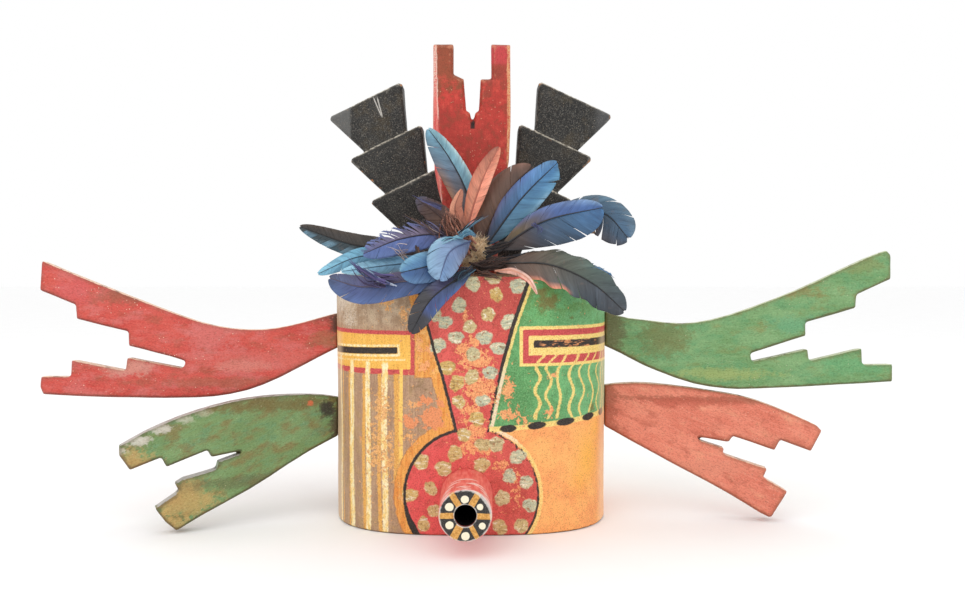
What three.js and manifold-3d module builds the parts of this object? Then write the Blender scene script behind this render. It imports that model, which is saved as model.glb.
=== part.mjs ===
// A painted wooden case mask: an oval drum with a tube snout, four stepped wings,
// a notched tablet, two stepped terraces and a bundle of feathers on its closed top.
// Millimetres, +Z up, the painted face looks along -Y, and the drum stands on Z = 0.

import * as THREE from 'three';
import { mergeVertices } from 'three/addons/utils/BufferGeometryUtils.js';
import Module from 'manifold-3d';

const wasm = await Module();
wasm.setup();

// Driving dimensions

const GAP = 0.3;

const CASE = { halfWidth: 105, halfDepth: 77, height: 188, wall: 10, power: 2.85, edge: 1.5, segments: 64 };

const SNOUT = {
  x: -2.5, z: 30.3, length: 54, rootRadius: 18.8, tipRadius: 17.8, boreRadius: 7.4, edge: 1.2, segments: 40,
};

const PLANK = { thickness: 15.5, edge: 1.6, curveSteps: 2 };

const TABLET = { y: -4, thickness: 14, chamfer: 2.6, top: 368 };

const TERRACE = {
  y: 18.5, tiers: 3, pitch: 37.4, ledge: 2.4, inset: 1.8,
  wide: 64.5, narrow: 37.5, thick: 24, thin: 15, neckWidth: 26, firstTop: 155.5, corner: 1.2,
};

const TUFT = { x: 3, y: -49, z: 202.6, radiusX: 10.5, radiusY: 9.5, radiusZ: 13 };

const FEATHER = { thickness: 1.6, edge: 0.7, quill: 0.9, tip: 1.1, camber: 0.16, steps: 10 };

const degrees = THREE.MathUtils.degToRad;

// Paint colours

const PAINT = {
  ochre: new THREE.MeshStandardMaterial({ color: 0xd89a58, roughness: 0.65 }),
  black: new THREE.MeshStandardMaterial({ color: 0x33332f, roughness: 0.55 }),
  red: new THREE.MeshStandardMaterial({ color: 0xbc4a3c, roughness: 0.6 }),
  green: new THREE.MeshStandardMaterial({ color: 0x659a68, roughness: 0.6 }),
  sage: new THREE.MeshStandardMaterial({ color: 0x6b8a62, roughness: 0.6 }),
  salmon: new THREE.MeshStandardMaterial({ color: 0xd97a63, roughness: 0.5 }),
  down: new THREE.MeshStandardMaterial({ color: 0xc9b796, roughness: 0.95 }),
  blueVane: new THREE.MeshStandardMaterial({ color: 0x4a78b4, roughness: 0.5 }),
  darkVane: new THREE.MeshStandardMaterial({ color: 0x3b4648, roughness: 0.5 }),
  pinkVane: new THREE.MeshStandardMaterial({ color: 0xd98c78, roughness: 0.6 }),
  brownVane: new THREE.MeshStandardMaterial({ color: 0x77594a, roughness: 0.7 }),
};

// Solids, joins and cuts

function solid(geometry) {
  const bare = geometry.clone();
  bare.deleteAttribute('normal');
  bare.deleteAttribute('uv');
  const merged = mergeVertices(bare, 1e-3);
  return new wasm.Manifold(new wasm.Mesh({
    numProp: 3,
    vertProperties: new Float32Array(merged.attributes.position.array),
    triVerts: new Uint32Array(merged.index.array),
  }));
}

function surface(manifold) {
  const mesh = manifold.getMesh();
  const geometry = new THREE.BufferGeometry();
  geometry.setAttribute('position', new THREE.BufferAttribute(new Float32Array(mesh.vertProperties), 3));
  geometry.setIndex(new THREE.BufferAttribute(new Uint32Array(mesh.triVerts), 1));
  return geometry;
}

// Takes the cutter, given in the object's own frame, away from a placed mesh.
function cut(mesh, cutter) {
  mesh.updateWorldMatrix(true, false);
  const local = cutter.clone().applyMatrix4(mesh.matrixWorld.clone().invert());
  mesh.geometry = surface(solid(mesh.geometry).subtract(solid(local)));
}

// Joins rings of equal length into one closed body. Rings run anticlockwise seen from the far end.
function loft(rings) {
  const size = rings[0].length;
  const positions = rings.flat().flatMap((point) => [point.x, point.y, point.z]);
  const faces = [];
  for (let ring = 0; ring < rings.length - 1; ring += 1) {
    for (let i = 0; i < size; i += 1) {
      const a = ring * size + i;
      const b = ring * size + ((i + 1) % size);
      faces.push(a, b, b + size, a, b + size, a + size);
    }
  }
  const last = (rings.length - 1) * size;
  for (let i = 1; i < size - 1; i += 1) {
    faces.push(0, i + 1, i);
    faces.push(last, last + i, last + i + 1);
  }
  const geometry = new THREE.BufferGeometry();
  geometry.setAttribute('position', new THREE.Float32BufferAttribute(positions, 3));
  geometry.setIndex(faces);
  return geometry;
}

function named(name, geometry, material) {
  const mesh = new THREE.Mesh(geometry, material);
  mesh.name = name;
  return mesh;
}

// Oval drum

function oval(halfWidth, halfDepth, z) {
  const points = [];
  for (let i = 0; i < CASE.segments; i += 1) {
    const angle = (2 * Math.PI * i) / CASE.segments;
    const c = Math.cos(angle);
    const s = Math.sin(angle);
    const x = Math.sign(c) * halfWidth * Math.abs(c) ** (2 / CASE.power);
    const y = Math.sign(s) * halfDepth * Math.abs(s) ** (2 / CASE.power);
    points.push(new THREE.Vector3(x, y, z));
  }
  return points;
}

function ovalInset(inset, z) {
  return oval(CASE.halfWidth - inset, CASE.halfDepth - inset, z);
}

function caseGeometry() {
  const { height, wall, edge } = CASE;
  const outside = loft([
    ovalInset(edge, 0),
    ovalInset(0, edge),
    ovalInset(0, height - edge),
    ovalInset(edge, height),
  ]);
  const inside = loft([ovalInset(wall, -wall), ovalInset(wall, height - wall)]);
  return surface(solid(outside).subtract(solid(inside)));
}

// The space the drum fills, with the gap its neighbours keep from it.
function caseClearance() {
  return loft([ovalInset(-GAP, -GAP), ovalInset(-GAP, CASE.height + GAP)]);
}

// Tube snout

function snoutGeometry() {
  const { length, rootRadius, tipRadius, boreRadius, edge, segments } = SNOUT;
  const profile = [
    [boreRadius, 0],
    [rootRadius, 0],
    [tipRadius, length - edge],
    [tipRadius - edge, length],
    [boreRadius + edge / 2, length],
    [boreRadius, length - edge / 2],
    [boreRadius, 0],
  ];
  return new THREE.LatheGeometry(profile.map(([r, along]) => new THREE.Vector2(r, along)), segments);
}

function snout() {
  const mesh = named('snout', snoutGeometry(), PAINT.red);
  mesh.rotation.x = Math.PI;
  mesh.position.set(SNOUT.x, -CASE.halfDepth - GAP, SNOUT.z);
  return mesh;
}

// Wings: planks with a notched outer end, given as (outward, up) from the root.
// "over" is the top edge, "upper" and "lower" the stairs of the two prongs, "under" the bottom edge.

const WINGS = [
  {
    name: 'upper_left_wing', side: -1, paint: PAINT.red, root: [103, -20, 150], sweep: 6, lean: 5, raise: 0,
    over: [[-8, 11], [18, 4], [45, -2.3], [69, -4], [96, -0.5], [127, 9.8], [175, 29], [222.5, 49.5]],
    upper: [[223.5, 27], [197.5, 15.7], [197, 5], [159, -5], [158.5, -15.8], [127, -24.4], [116.5, -28]],
    lower: [[118, -33], [159.5, -24.5], [160.5, -34.7], [200, -26], [200.7, -38.5], [222, -38], [223, -46]],
    under: [[220.5, -51.8], [174, -54.5], [114, -56], [83, -53.7], [55, -45.5], [24, -30], [-8, -14]],
  },
  {
    name: 'upper_right_wing', side: 1, paint: PAINT.green, root: [103, -20, 150], sweep: 6, lean: 5, raise: 0,
    over: [[-8, 14], [12, 6], [32, 3.3], [57, 0.6], [83, 3.8], [119, 15.5], [157, 31.3], [194.5, 50], [213, 57.2]],
    upper: [[216, 53.5], [216, 35.3], [191, 23.4], [190, 13.3], [153, 2.2], [153.3, -8], [134.5, -14.3], [112, -22]],
    lower: [[113, -28], [134.5, -23], [154.5, -18], [155.5, -27], [194, -17.2], [194.7, -29.3], [216.5, -28.8]],
    under: [[216.5, -42.2], [172, -45.6], [119, -48.9], [95, -49.3], [68, -45.4], [37, -34.4], [17, -24.7], [-8, -13]],
  },
  {
    name: 'lower_left_wing', side: -1, paint: PAINT.sage, root: [103, -22, 73.2], sweep: 22, lean: 5, raise: 2.6,
    over: [[-8, 16], [2.8, 20], [24.6, 22], [55, 20.8], [83.3, 16.6], [111.7, 8.6], [139.2, -3], [159.2, -14.2]],
    upper: [[159, -20.4], [151.4, -31.4], [130.3, -23.1], [126.5, -30.1], [97.9, -19.1], [95.2, -24.3], [73, -19.9]],
    lower: [[74.1, -22.2], [90, -27.6], [91.2, -32.9], [114.7, -39.1], [120.2, -42.9], [117.2, -48.5], [133.5, -59.7]],
    under: [[126.2, -69.8], [120.2, -74.9], [117.1, -75.8], [99.1, -65.6], [61.8, -46], [28.5, -25.4], [-8, -6.5]],
  },
  {
    name: 'lower_right_wing', side: 1, paint: PAINT.salmon, root: [103, -18, 80], sweep: 9, lean: 5, raise: 0,
    over: [[-8, 20], [10, 23], [29, 23.8], [51, 22.6], [84, 19], [110, 14.5], [138, 4.7], [161, -5.5]],
    upper: [[165, -9.7], [157, -25.5], [134.5, -17.2], [130.3, -25.3], [99.5, -15.7], [96.4, -20.2], [73, -17]],
    lower: [[74, -19.4], [93, -25.1], [92, -29.4], [125, -39.6], [122, -46.4], [139.7, -56.5]],
    under: [[129.3, -74.4], [125, -76], [102.6, -62.9], [81.7, -51.8], [45.4, -33.8], [22, -21.5], [-8, -6]],
  },
];

function wingOutline({ side, over, upper, lower, under }) {
  const place = ([outward, up]) => new THREE.Vector2(side * outward, up);
  const outline = new THREE.Shape();
  const start = place(over[0]);
  outline.moveTo(start.x, start.y);
  outline.splineThru(over.slice(1).map(place));
  for (const corner of [...upper, ...lower, under[0]].map(place)) {
    outline.lineTo(corner.x, corner.y);
  }
  outline.splineThru(under.slice(1).map(place));
  outline.closePath();
  return outline;
}

function plank(outline, thickness, edge, edgeSteps) {
  const geometry = new THREE.ExtrudeGeometry(outline, {
    depth: thickness - 2 * edge,
    curveSegments: PLANK.curveSteps,
    bevelEnabled: true,
    bevelThickness: edge,
    bevelSize: edge,
    bevelOffset: -edge,
    bevelSegments: edgeSteps,
  });
  return geometry.translate(0, 0, edge - thickness);
}

function wing(shape) {
  const mesh = named(shape.name, plank(wingOutline(shape), PLANK.thickness, PLANK.edge, 2), shape.paint);
  mesh.rotation.set(Math.PI / 2 - degrees(shape.lean), 0, shape.side * degrees(shape.raise));
  const joint = new THREE.Group();
  joint.position.set(shape.side * shape.root[0], shape.root[1], shape.root[2]);
  joint.rotation.z = -shape.side * degrees(shape.sweep);
  joint.add(mesh);
  cut(mesh, caseClearance());
  return joint;
}

// Tablet: an upright board with a stepped notch that ends in a point

function tabletOutline() {
  const base = CASE.height + GAP;
  const leftSide = [[-20, base], [-23, 243], [-26.5, 256], [-29, 270], [-30, 300]];
  const notch = [
    [-13.8, TABLET.top], [-13.8, 344.7], [-5.8, 341], [-4, 316.3], [-1, 315.2],
    [1.3, 303.4], [3.2, 315.2], [6, 316.3], [7.4, 341], [15.9, 341], [15.6, TABLET.top],
  ];
  const rightSide = [[30.8, 304], [29.8, 277], [26.5, 260], [23.5, 243], [20, base]];
  const outline = new THREE.Shape();
  const corners = [...leftSide, [-29.7, TABLET.top], ...notch, [30.8, TABLET.top - 0.4], ...rightSide];
  outline.setFromPoints(corners.map(([x, z]) => new THREE.Vector2(x, z)));
  return outline;
}

function tablet() {
  const { thickness, chamfer, y } = TABLET;
  const mesh = named('tablet', plank(tabletOutline(), thickness, chamfer, 1), PAINT.red);
  mesh.rotation.x = Math.PI / 2;
  mesh.position.y = y - thickness / 2;
  return mesh;
}

// Terraces: three flared tiers on a neck, leaning outwards from the top of the drum

function block(width, thickness, along) {
  const w = width / 2;
  const t = thickness / 2;
  const c = TERRACE.corner;
  const corners = [[w - c, -t], [w, c - t], [w, t - c], [w - c, t], [c - w, t], [-w, t - c], [-w, c - t], [c - w, -t]];
  return corners.map(([x, y]) => new THREE.Vector3(x, y, along));
}

function terraceGeometry() {
  const { tiers, pitch, ledge, inset, wide, narrow, thick, thin, neckWidth, firstTop } = TERRACE;
  const footDepth = 20;
  const rings = [block(neckWidth, thin, -footDepth), block(neckWidth, thin, firstTop - tiers * pitch)];
  for (let tier = tiers - 1; tier >= 0; tier -= 1) {
    const top = firstTop - tier * pitch;
    rings.push(block(narrow, thin, top - pitch));
    rings.push(block(wide, thick, top - ledge));
    rings.push(block(wide - 2 * inset, thick - 2 * inset, top));
  }
  return loft(rings);
}

function terrace(name, baseX, lean) {
  const mesh = named(name, terraceGeometry(), PAINT.black);
  mesh.position.set(baseX, TERRACE.y, CASE.height + GAP);
  mesh.rotation.y = degrees(lean);
  cut(mesh, caseClearance());
  return mesh;
}

// Down tuft and feathers. Each feather runs from the tuft through its points to its tip.

function tuft() {
  const geometry = new THREE.SphereGeometry(1, 14, 10).scale(TUFT.radiusX, TUFT.radiusY, TUFT.radiusZ);
  const mesh = named('down_tuft', geometry, PAINT.down);
  mesh.position.set(TUFT.x, TUFT.y, TUFT.z);
  return mesh;
}

// Half-width along a feather, as a share of its greatest half-width.
function vane(t, broadest) {
  if (t < broadest) {
    return Math.sin((Math.PI / 2) * (t / broadest)) ** 0.9;
  }
  const rest = (t - broadest) / (1 - broadest);
  return Math.sqrt(Math.max(0, 1 - rest ** 2.6));
}

function featherGeometry({ path, width, facing, broadest = 0.5 }) {
  const curve = new THREE.CatmullRomCurve3(path.map((point) => new THREE.Vector3(...point)), false, 'centripetal');
  const front = new THREE.Vector3(...facing).normalize();
  const rings = [];
  for (let i = 0; i <= FEATHER.steps; i += 1) {
    const t = i / FEATHER.steps;
    const centre = curve.getPointAt(t);
    const along = curve.getTangentAt(t);
    const normal = front.clone().addScaledVector(along, -front.dot(along)).normalize();
    const across = new THREE.Vector3().crossVectors(normal, along);
    const narrowest = t < 0.5 ? FEATHER.quill : FEATHER.tip;
    const half = Math.max(narrowest, (width / 2) * vane(t, broadest));
    const droop = -FEATHER.camber * half;
    const section = [
      [half, droop + FEATHER.edge / 2], [0, FEATHER.thickness / 2], [-half, droop + FEATHER.edge / 2],
      [-half, droop - FEATHER.edge / 2], [0, -FEATHER.thickness / 2], [half, droop - FEATHER.edge / 2],
    ];
    rings.push(section.map(([sideways, up]) => (
      centre.clone().addScaledVector(across, sideways).addScaledVector(normal, up)
    )));
  }
  return loft(rings);
}

const FORWARD = [0, -1, 0.25];
const TILTED = [0, -0.9, 0.45];
const UPWARD = [0, -0.75, 0.65];

const FEATHERS = [
  {
    name: 'feather_sky_upright', paint: PAINT.blueVane, width: 19, facing: FORWARD,
    path: [[1.5, -41, 220], [-2, -35, 252.5], [-15.5, -35, 276.5], [-32.5, -35, 299]],
  },
  {
    name: 'feather_salmon', paint: PAINT.pinkVane, width: 13.5, facing: FORWARD,
    path: [[-2.5, -46, 220.5], [5.5, -46, 250], [21, -45, 282]],
  },
  {
    name: 'feather_brown_broad', paint: PAINT.brownVane, width: 19, facing: FORWARD,
    path: [[11.5, -42, 217.5], [28, -42, 249.5], [47.5, -43, 269.5]],
  },
  {
    name: 'feather_blue_broad', paint: PAINT.blueVane, width: 24, facing: FORWARD,
    path: [[13.5, -50, 214.5], [38.5, -55, 245], [64.5, -55, 271.5]],
  },
  {
    name: 'feather_violet_blue', paint: PAINT.blueVane, width: 24, facing: TILTED,
    path: [[19.5, -58, 207.5], [52.5, -66, 226.5], [96.5, -68, 236.5]],
  },
  {
    name: 'feather_slate_curled', paint: PAINT.darkVane, width: 20, facing: FORWARD, broadest: 0.7,
    path: [[18, -47, 212], [66.5, -52, 229], [97, -56, 233.5], [114.5, -62, 212]],
  },
  {
    name: 'feather_dark_arched', paint: PAINT.darkVane, width: 28, facing: TILTED,
    path: [[24, -62, 197], [57, -77, 195.5], [86.5, -84, 183], [110, -84, 162.5]],
  },
  {
    name: 'feather_pink_curl', paint: PAINT.pinkVane, width: 5, facing: UPWARD,
    path: [[9, -66, 192], [26, -85, 190], [46.5, -94, 176.5]],
  },
  {
    name: 'feather_black_left', paint: PAINT.darkVane, width: 19, facing: FORWARD,
    path: [[-11, -42, 208], [-53, -36, 208], [-91, -36, 213], [-128, -36, 224.5]],
  },
  {
    name: 'feather_violet_shaggy', paint: PAINT.blueVane, width: 20, facing: FORWARD,
    path: [[-7, -54, 214], [-24.5, -58, 221], [-51.5, -62, 219], [-77, -62, 209]],
  },
  {
    name: 'feather_sky_outer', paint: PAINT.blueVane, width: 14, facing: FORWARD,
    path: [[-11, -47, 202.5], [-52, -47, 203], [-82.5, -48, 202], [-114, -50, 190]],
  },
  {
    name: 'feather_sky_inner', paint: PAINT.blueVane, width: 12, facing: FORWARD,
    path: [[-9.5, -54, 199], [-46, -60, 197], [-95, -60, 191]],
  },
  {
    name: 'feather_violet_belly', paint: PAINT.blueVane, width: 19, facing: FORWARD, broadest: 0.62,
    path: [[-8, -62, 197], [-28.5, -88, 188], [-50, -88, 185.5], [-76, -86, 182.5], [-100.5, -81, 189]],
  },
  {
    name: 'feather_mid_blue', paint: PAINT.blueVane, width: 17, facing: FORWARD,
    path: [[-7, -62, 203], [-26, -89, 198], [-47, -95, 194]],
  },
  {
    name: 'feather_periwinkle', paint: PAINT.blueVane, width: 26, facing: FORWARD,
    path: [[0, -68, 215], [-15.5, -94, 205], [-22.5, -101, 187.5]],
  },
  {
    name: 'feather_dark_drooping', paint: PAINT.darkVane, width: 18.5, facing: FORWARD, broadest: 0.6,
    path: [[2, -72, 192], [-10.5, -92, 185], [-27, -94, 172], [-41.5, -92, 148]],
  },
  {
    name: 'feather_brown_small', paint: PAINT.brownVane, width: 13, facing: FORWARD, broadest: 0.4,
    path: [[-6, -47, 215], [-24.5, -43, 231.5], [-42.5, -40, 247]],
  },
  {
    name: 'feather_tan_small', paint: PAINT.brownVane, width: 8, facing: FORWARD,
    path: [[-4, -53, 220], [-11.5, -54, 238], [-7, -54, 251]],
  },
  {
    name: 'feather_blue_hidden', paint: PAINT.blueVane, width: 10, facing: UPWARD,
    path: [[15, -53, 200], [62, -60, 202], [103.5, -64, 188]],
  },
];

// The whole mask

const mask = new THREE.Group();
mask.add(named('mask_case', caseGeometry(), PAINT.ochre));
mask.add(snout());
for (const shape of WINGS) {
  mask.add(wing(shape));
}
mask.add(tablet());
mask.add(terrace('left_terrace', -17.4, -26));
mask.add(terrace('right_terrace', 18.2, 25));
mask.add(tuft());
for (const feather of FEATHERS) {
  mask.add(named(feather.name, featherGeometry(feather), feather.paint));
}

// The origin is on the standing plane, in the middle of the whole mask's width and depth.
const middle = new THREE.Box3().setFromObject(mask, true).getCenter(new THREE.Vector3());
mask.position.set(-middle.x, -middle.y, 0);

export default mask;
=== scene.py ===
# A painted wooden case mask: oval drum, tube snout, four notched wings, a tablet,
# two terraces and a bundle of feathers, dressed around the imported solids.
import math
import random

import bpy
import numpy as np
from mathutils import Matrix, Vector, noise


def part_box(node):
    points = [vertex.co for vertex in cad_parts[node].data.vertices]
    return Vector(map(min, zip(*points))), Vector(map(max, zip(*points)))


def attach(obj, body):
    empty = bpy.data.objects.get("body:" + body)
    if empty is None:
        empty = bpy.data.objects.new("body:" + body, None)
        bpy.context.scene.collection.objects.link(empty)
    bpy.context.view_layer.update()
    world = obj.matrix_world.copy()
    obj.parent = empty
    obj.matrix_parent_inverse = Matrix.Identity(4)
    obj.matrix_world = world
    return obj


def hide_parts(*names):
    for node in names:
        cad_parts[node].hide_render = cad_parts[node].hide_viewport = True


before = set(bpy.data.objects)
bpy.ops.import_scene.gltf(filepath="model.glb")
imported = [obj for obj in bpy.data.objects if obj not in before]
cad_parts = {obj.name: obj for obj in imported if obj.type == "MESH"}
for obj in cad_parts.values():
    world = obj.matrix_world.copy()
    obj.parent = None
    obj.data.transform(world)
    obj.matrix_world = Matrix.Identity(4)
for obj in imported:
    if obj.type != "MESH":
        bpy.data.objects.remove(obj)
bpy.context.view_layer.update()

MM = 0.001
case_low, case_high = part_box("mask_case")
CENTRE = Vector(((case_low.x + case_high.x) / 2, (case_low.y + case_high.y) / 2, 0.0))
CASE_HALF_WIDTH = (case_high.x - case_low.x) / 2 / MM
CASE_HALF_DEPTH = (case_high.y - case_low.y) / 2 / MM
CASE_HEIGHT = case_high.z / MM
CASE_POWER = 2.85
CASE_WALL = 10.0
CASE_EDGE = 1.6


def srgb(red, green, blue):
    """A colour named by its 8-bit screen values, as the linear colour that shaders take."""
    def linear(value):
        value /= 255
        return value / 12.92 if value <= 0.04045 else ((value + 0.055) / 1.055) ** 2.4
    return (linear(red), linear(green), linear(blue), 1.0)


def place(x, y, z):
    """A point given in millimetres from the foot of the drum's axis, in the frame's metres."""
    return CENTRE + Vector((x, y, z)) * MM


# Camera and light

CAMERA_PLACE = (8.9, -720.0, 199.5)
FRAME_WIDTH = 965
FOCAL_PIXELS = 900.0
HORIZON_ABOVE_MIDDLE = 40.0
SENSOR = 36.0
LIGHT_TARGET = (0, 0, 180)
# Name, place, side of the square and power of each light
LIGHTS = [
    ("key_light", (-650, -900, 1050), 0.9, 3.0),
    ("fill_light", (800, -900, 700), 1.0, 1.5),
    ("top_light", (0, 250, 1300), 1.2, 2.0),
]
FLOOR_HALF = 6.0


def add_camera():
    data = bpy.data.cameras.new("view_camera")
    data.sensor_width = SENSOR
    data.lens = SENSOR * FOCAL_PIXELS / FRAME_WIDTH
    data.clip_start = 0.01
    camera = bpy.data.objects.new("view_camera", data)
    camera.location = place(*CAMERA_PLACE)
    camera.rotation_euler = (math.pi / 2 - math.atan(HORIZON_ABOVE_MIDDLE / FOCAL_PIXELS), 0, 0)
    bpy.context.collection.objects.link(camera)
    bpy.context.scene.camera = camera


def add_studio():
    scene = bpy.context.scene
    scene.view_settings.view_transform = "Standard"
    scene.view_settings.look = "None"
    world = bpy.data.worlds.new("studio_world")
    world.use_nodes = True
    background = world.node_tree.nodes["Background"]
    background.inputs["Color"].default_value = (1, 1, 1, 1)
    background.inputs["Strength"].default_value = 1.0
    scene.world = world
    for name, at, size, power in LIGHTS:
        data = bpy.data.lights.new(name, "AREA")
        data.shape = "RECTANGLE"
        data.size = size
        data.size_y = size
        data.energy = power
        light = bpy.data.objects.new(name, data)
        light.location = place(*at)
        towards = place(*LIGHT_TARGET) - light.location
        light.rotation_euler = towards.to_track_quat("-Z", "Y").to_euler()
        bpy.context.collection.objects.link(light)


# Node materials

class Finish:
    """A node material that is built up a coat at a time. Lengths are in millimetres.

    A colour is a node's output, three 8-bit screen values or four linear ones.
    """

    def __init__(self, name, specular=None):
        self.material = bpy.data.materials.new(name)
        self.material.use_nodes = True
        self.tree = self.material.node_tree
        self.shader = self.tree.nodes["Principled BSDF"]
        if specular is not None:
            self.shader.inputs["Specular IOR Level"].default_value = specular
        from_origin = self.vector("SCALE", self.node("TexCoord").outputs["Object"], scale=1 / MM)
        self.place = self.vector("SUBTRACT", from_origin, tuple(CENTRE / MM))

    def node(self, kind, **settings):
        made = self.tree.nodes.new("ShaderNode" + kind)
        for name, value in settings.items():
            setattr(made, name, value)
        return made

    def feed(self, socket, value):
        if isinstance(value, bpy.types.NodeSocket):
            self.tree.links.new(value, socket)
        else:
            socket.default_value = value

    def vector(self, operation, first, second=None, scale=None):
        made = self.node("VectorMath", operation=operation)
        self.feed(made.inputs[0], first)
        if second is not None:
            self.feed(made.inputs[1], second)
        if scale is not None:
            made.inputs["Scale"].default_value = scale
        return made.outputs["Value" if operation == "LENGTH" else "Vector"]

    def math(self, operation, first, second=0.0):
        made = self.node("Math", operation=operation)
        self.feed(made.inputs[0], first)
        self.feed(made.inputs[1], second)
        return made.outputs[0]

    def add(self, first, second):
        return self.math("ADD", first, second)

    def minus(self, first, second):
        return self.math("SUBTRACT", first, second)

    def size_of(self, value):
        return self.math("ABSOLUTE", value)

    def attribute(self, name, output="Fac"):
        return self.node("Attribute", attribute_name=name).outputs[output]

    def part(self, vector, axis):
        made = self.node("SeparateXYZ")
        self.feed(made.inputs[0], vector)
        return made.outputs[axis]

    def noise(self, size, detail=4.0, stretch=(1, 1, 1), along=None, offset=0.0, distortion=0.0):
        """Cloudy noise from 0 to 1, with features of the given size, stretched along the axes."""
        where = along if along is not None else self.place
        scaled = self.vector("MULTIPLY", where, tuple(1 / (size * s) for s in stretch))
        if offset:
            scaled = self.vector("ADD", scaled, (offset, offset * 0.7, offset * 1.3))
        made = self.node("TexNoise")
        self.feed(made.inputs["Vector"], scaled)
        made.inputs["Scale"].default_value = 1.0
        made.inputs["Detail"].default_value = detail
        made.inputs["Roughness"].default_value = 0.6
        made.inputs["Distortion"].default_value = distortion
        return made.outputs[0]

    def spots(self, size, inner, outer):
        """Small round spots a size apart, full up to the inner radius and gone at the outer."""
        made = self.node("TexVoronoi")
        self.feed(made.inputs["Vector"], self.vector("MULTIPLY", self.place, (1 / size,) * 3))
        made.inputs["Scale"].default_value = 1.0
        return self.rise(made.outputs["Distance"], outer, inner)

    def rise(self, value, low, high):
        """0 below low, 1 above high and smooth between. Low may be above high, to fall instead."""
        made = self.node("MapRange", interpolation_type="SMOOTHSTEP")
        self.feed(made.inputs["Value"], value)
        made.inputs["From Min"].default_value = low
        made.inputs["From Max"].default_value = high
        return made.outputs["Result"]

    def times(self, *values):
        product = values[0]
        for value in values[1:]:
            product = self.math("MULTIPLY", product, value)
        return product

    def shaken(self, value, cloud, depth):
        """A value moved up and down by noise, by half the depth at most."""
        return self.add(value, self.times(self.minus(cloud, 0.5), depth))

    def mix(self, share, first, second, blend="MIX"):
        made = self.node("Mix", data_type="RGBA", blend_type=blend)
        self.feed(made.inputs[0], share)
        for number, colour in ((6, first), (7, second)):
            plain = isinstance(colour, tuple) and len(colour) == 3
            self.feed(made.inputs[number], srgb(*colour) if plain else colour)
        return made.outputs[2]

    def between(self, value, low, high, first, second):
        """The first colour below low, the second above high."""
        return self.mix(self.rise(value, low, high), first, second)

    def washes(self, colour, *washes):
        """Thin washes (value, low, high, share, tone), each laid where its value rises past low."""
        for value, low, high, share, tone in washes:
            colour = self.mix(self.times(self.rise(value, low, high), share), colour, tone)
        return colour

    def tinted(self, share, colour, tone, blend="MULTIPLY"):
        """A colour darkened by MULTIPLY or lit by ADD, by the share."""
        return self.mix(share, colour, self.mix(1.0, colour, tone, blend))

    def coat(self, below, area, colour, ragged=0.5, soft=0.3, cover=1.0, size=2.2):
        """Colour over what is below, where the distance to an area is negative, with a brushed edge."""
        distance = self.attribute(area) if isinstance(area, str) else area
        shaken = self.shaken(distance, self.noise(size, detail=3.0), 2 * ragged)
        share = self.rise(shaken, soft, -soft)
        if cover != 1.0:
            share = self.times(share, cover)
        return self.mix(share, below, colour), share

    def coats(self, colour, *coats):
        """Coats (area, colour, options) one over another."""
        for area, tone, options in coats:
            colour, _ = self.coat(colour, area, tone, **options)
        return colour

    def done(self, colour, roughness, height=None, depth=0.0, strength=1.0):
        """The finished material, with the height as a bump of the depth in millimetres."""
        self.feed(self.shader.inputs["Base Color"], colour)
        self.feed(self.shader.inputs["Roughness"], roughness)
        if height is not None:
            bump = self.node("Bump")
            bump.inputs["Strength"].default_value = strength
            bump.inputs["Distance"].default_value = depth * MM
            self.feed(bump.inputs["Height"], height)
            self.feed(self.shader.inputs["Normal"], bump.outputs[0])
        return self.material


# Meshes

def add_attribute(mesh, name, values):
    """A number, vector or colour for each point of a mesh."""
    values = np.asarray(values, np.float32)
    width = 1 if values.ndim == 1 else values.shape[1]
    kind, field = {1: ("FLOAT", "value"), 3: ("FLOAT_VECTOR", "vector"), 4: ("FLOAT_COLOR", "color")}[width]
    mesh.attributes.new(name, kind, "POINT").data.foreach_set(field, values.ravel())


def make_object(name, points, faces, attributes=None, material=None):
    """A mesh object from points in metres and faces, with float or vector attributes on its points."""
    mesh = bpy.data.meshes.new(name)
    mesh.from_pydata(np.asarray(points).tolist(), [], [tuple(face) for face in faces])
    for key, values in (attributes or {}).items():
        add_attribute(mesh, key, values)
    mesh.polygons.foreach_set("use_smooth", [True] * len(mesh.polygons))
    if material:
        mesh.materials.append(material)
    mesh.update()
    piece = bpy.data.objects.new(name, mesh)
    bpy.context.collection.objects.link(piece)
    return piece


def finish_piece(piece, slot_name, *nodes):
    """Hangs a piece under the root body and hides the nodes that it stands for. The slot name is not used."""
    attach(piece, "root")
    if nodes:
        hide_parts(*nodes)
    return piece


def grid_faces(rows, columns, closed=False):
    """Faces between neighbouring rows of points. A closed grid joins its last column to its first."""
    last = columns if closed else columns - 1
    row, column = np.meshgrid(np.arange(rows - 1), np.arange(last), indexing="ij")
    start = (row * columns + column).ravel()
    nearby = (row * columns + (column + 1) % columns).ravel()
    return np.stack([start, nearby, nearby + columns, start + columns], axis=1)


def closed_tube(rings, columns, inside_out=False):
    """Faces of a tube of rings, with both of its ends closed."""
    last = (rings - 1) * columns
    faces = grid_faces(rings, columns, closed=True).tolist()
    faces.append(list(range(columns))[::-1])
    faces.append(list(range(last, last + columns)))
    return [face[::-1] for face in faces] if inside_out else faces


def rough(points, size, depth, seed):
    """A small shift for each point, from smooth noise, as hand carving leaves."""
    shift = Vector((seed * 7.1, seed * 3.3, seed * 5.7))
    return np.array([noise.noise(Vector(point) / (size * MM) + shift) for point in points]) * depth * MM


# Distances on the painted face, in millimetres. Points are (around, height): around runs from the
# middle of the front to the viewer's right along the drum's surface.

FAR_OFF = 1e3
BEYOND = 50.0


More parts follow.
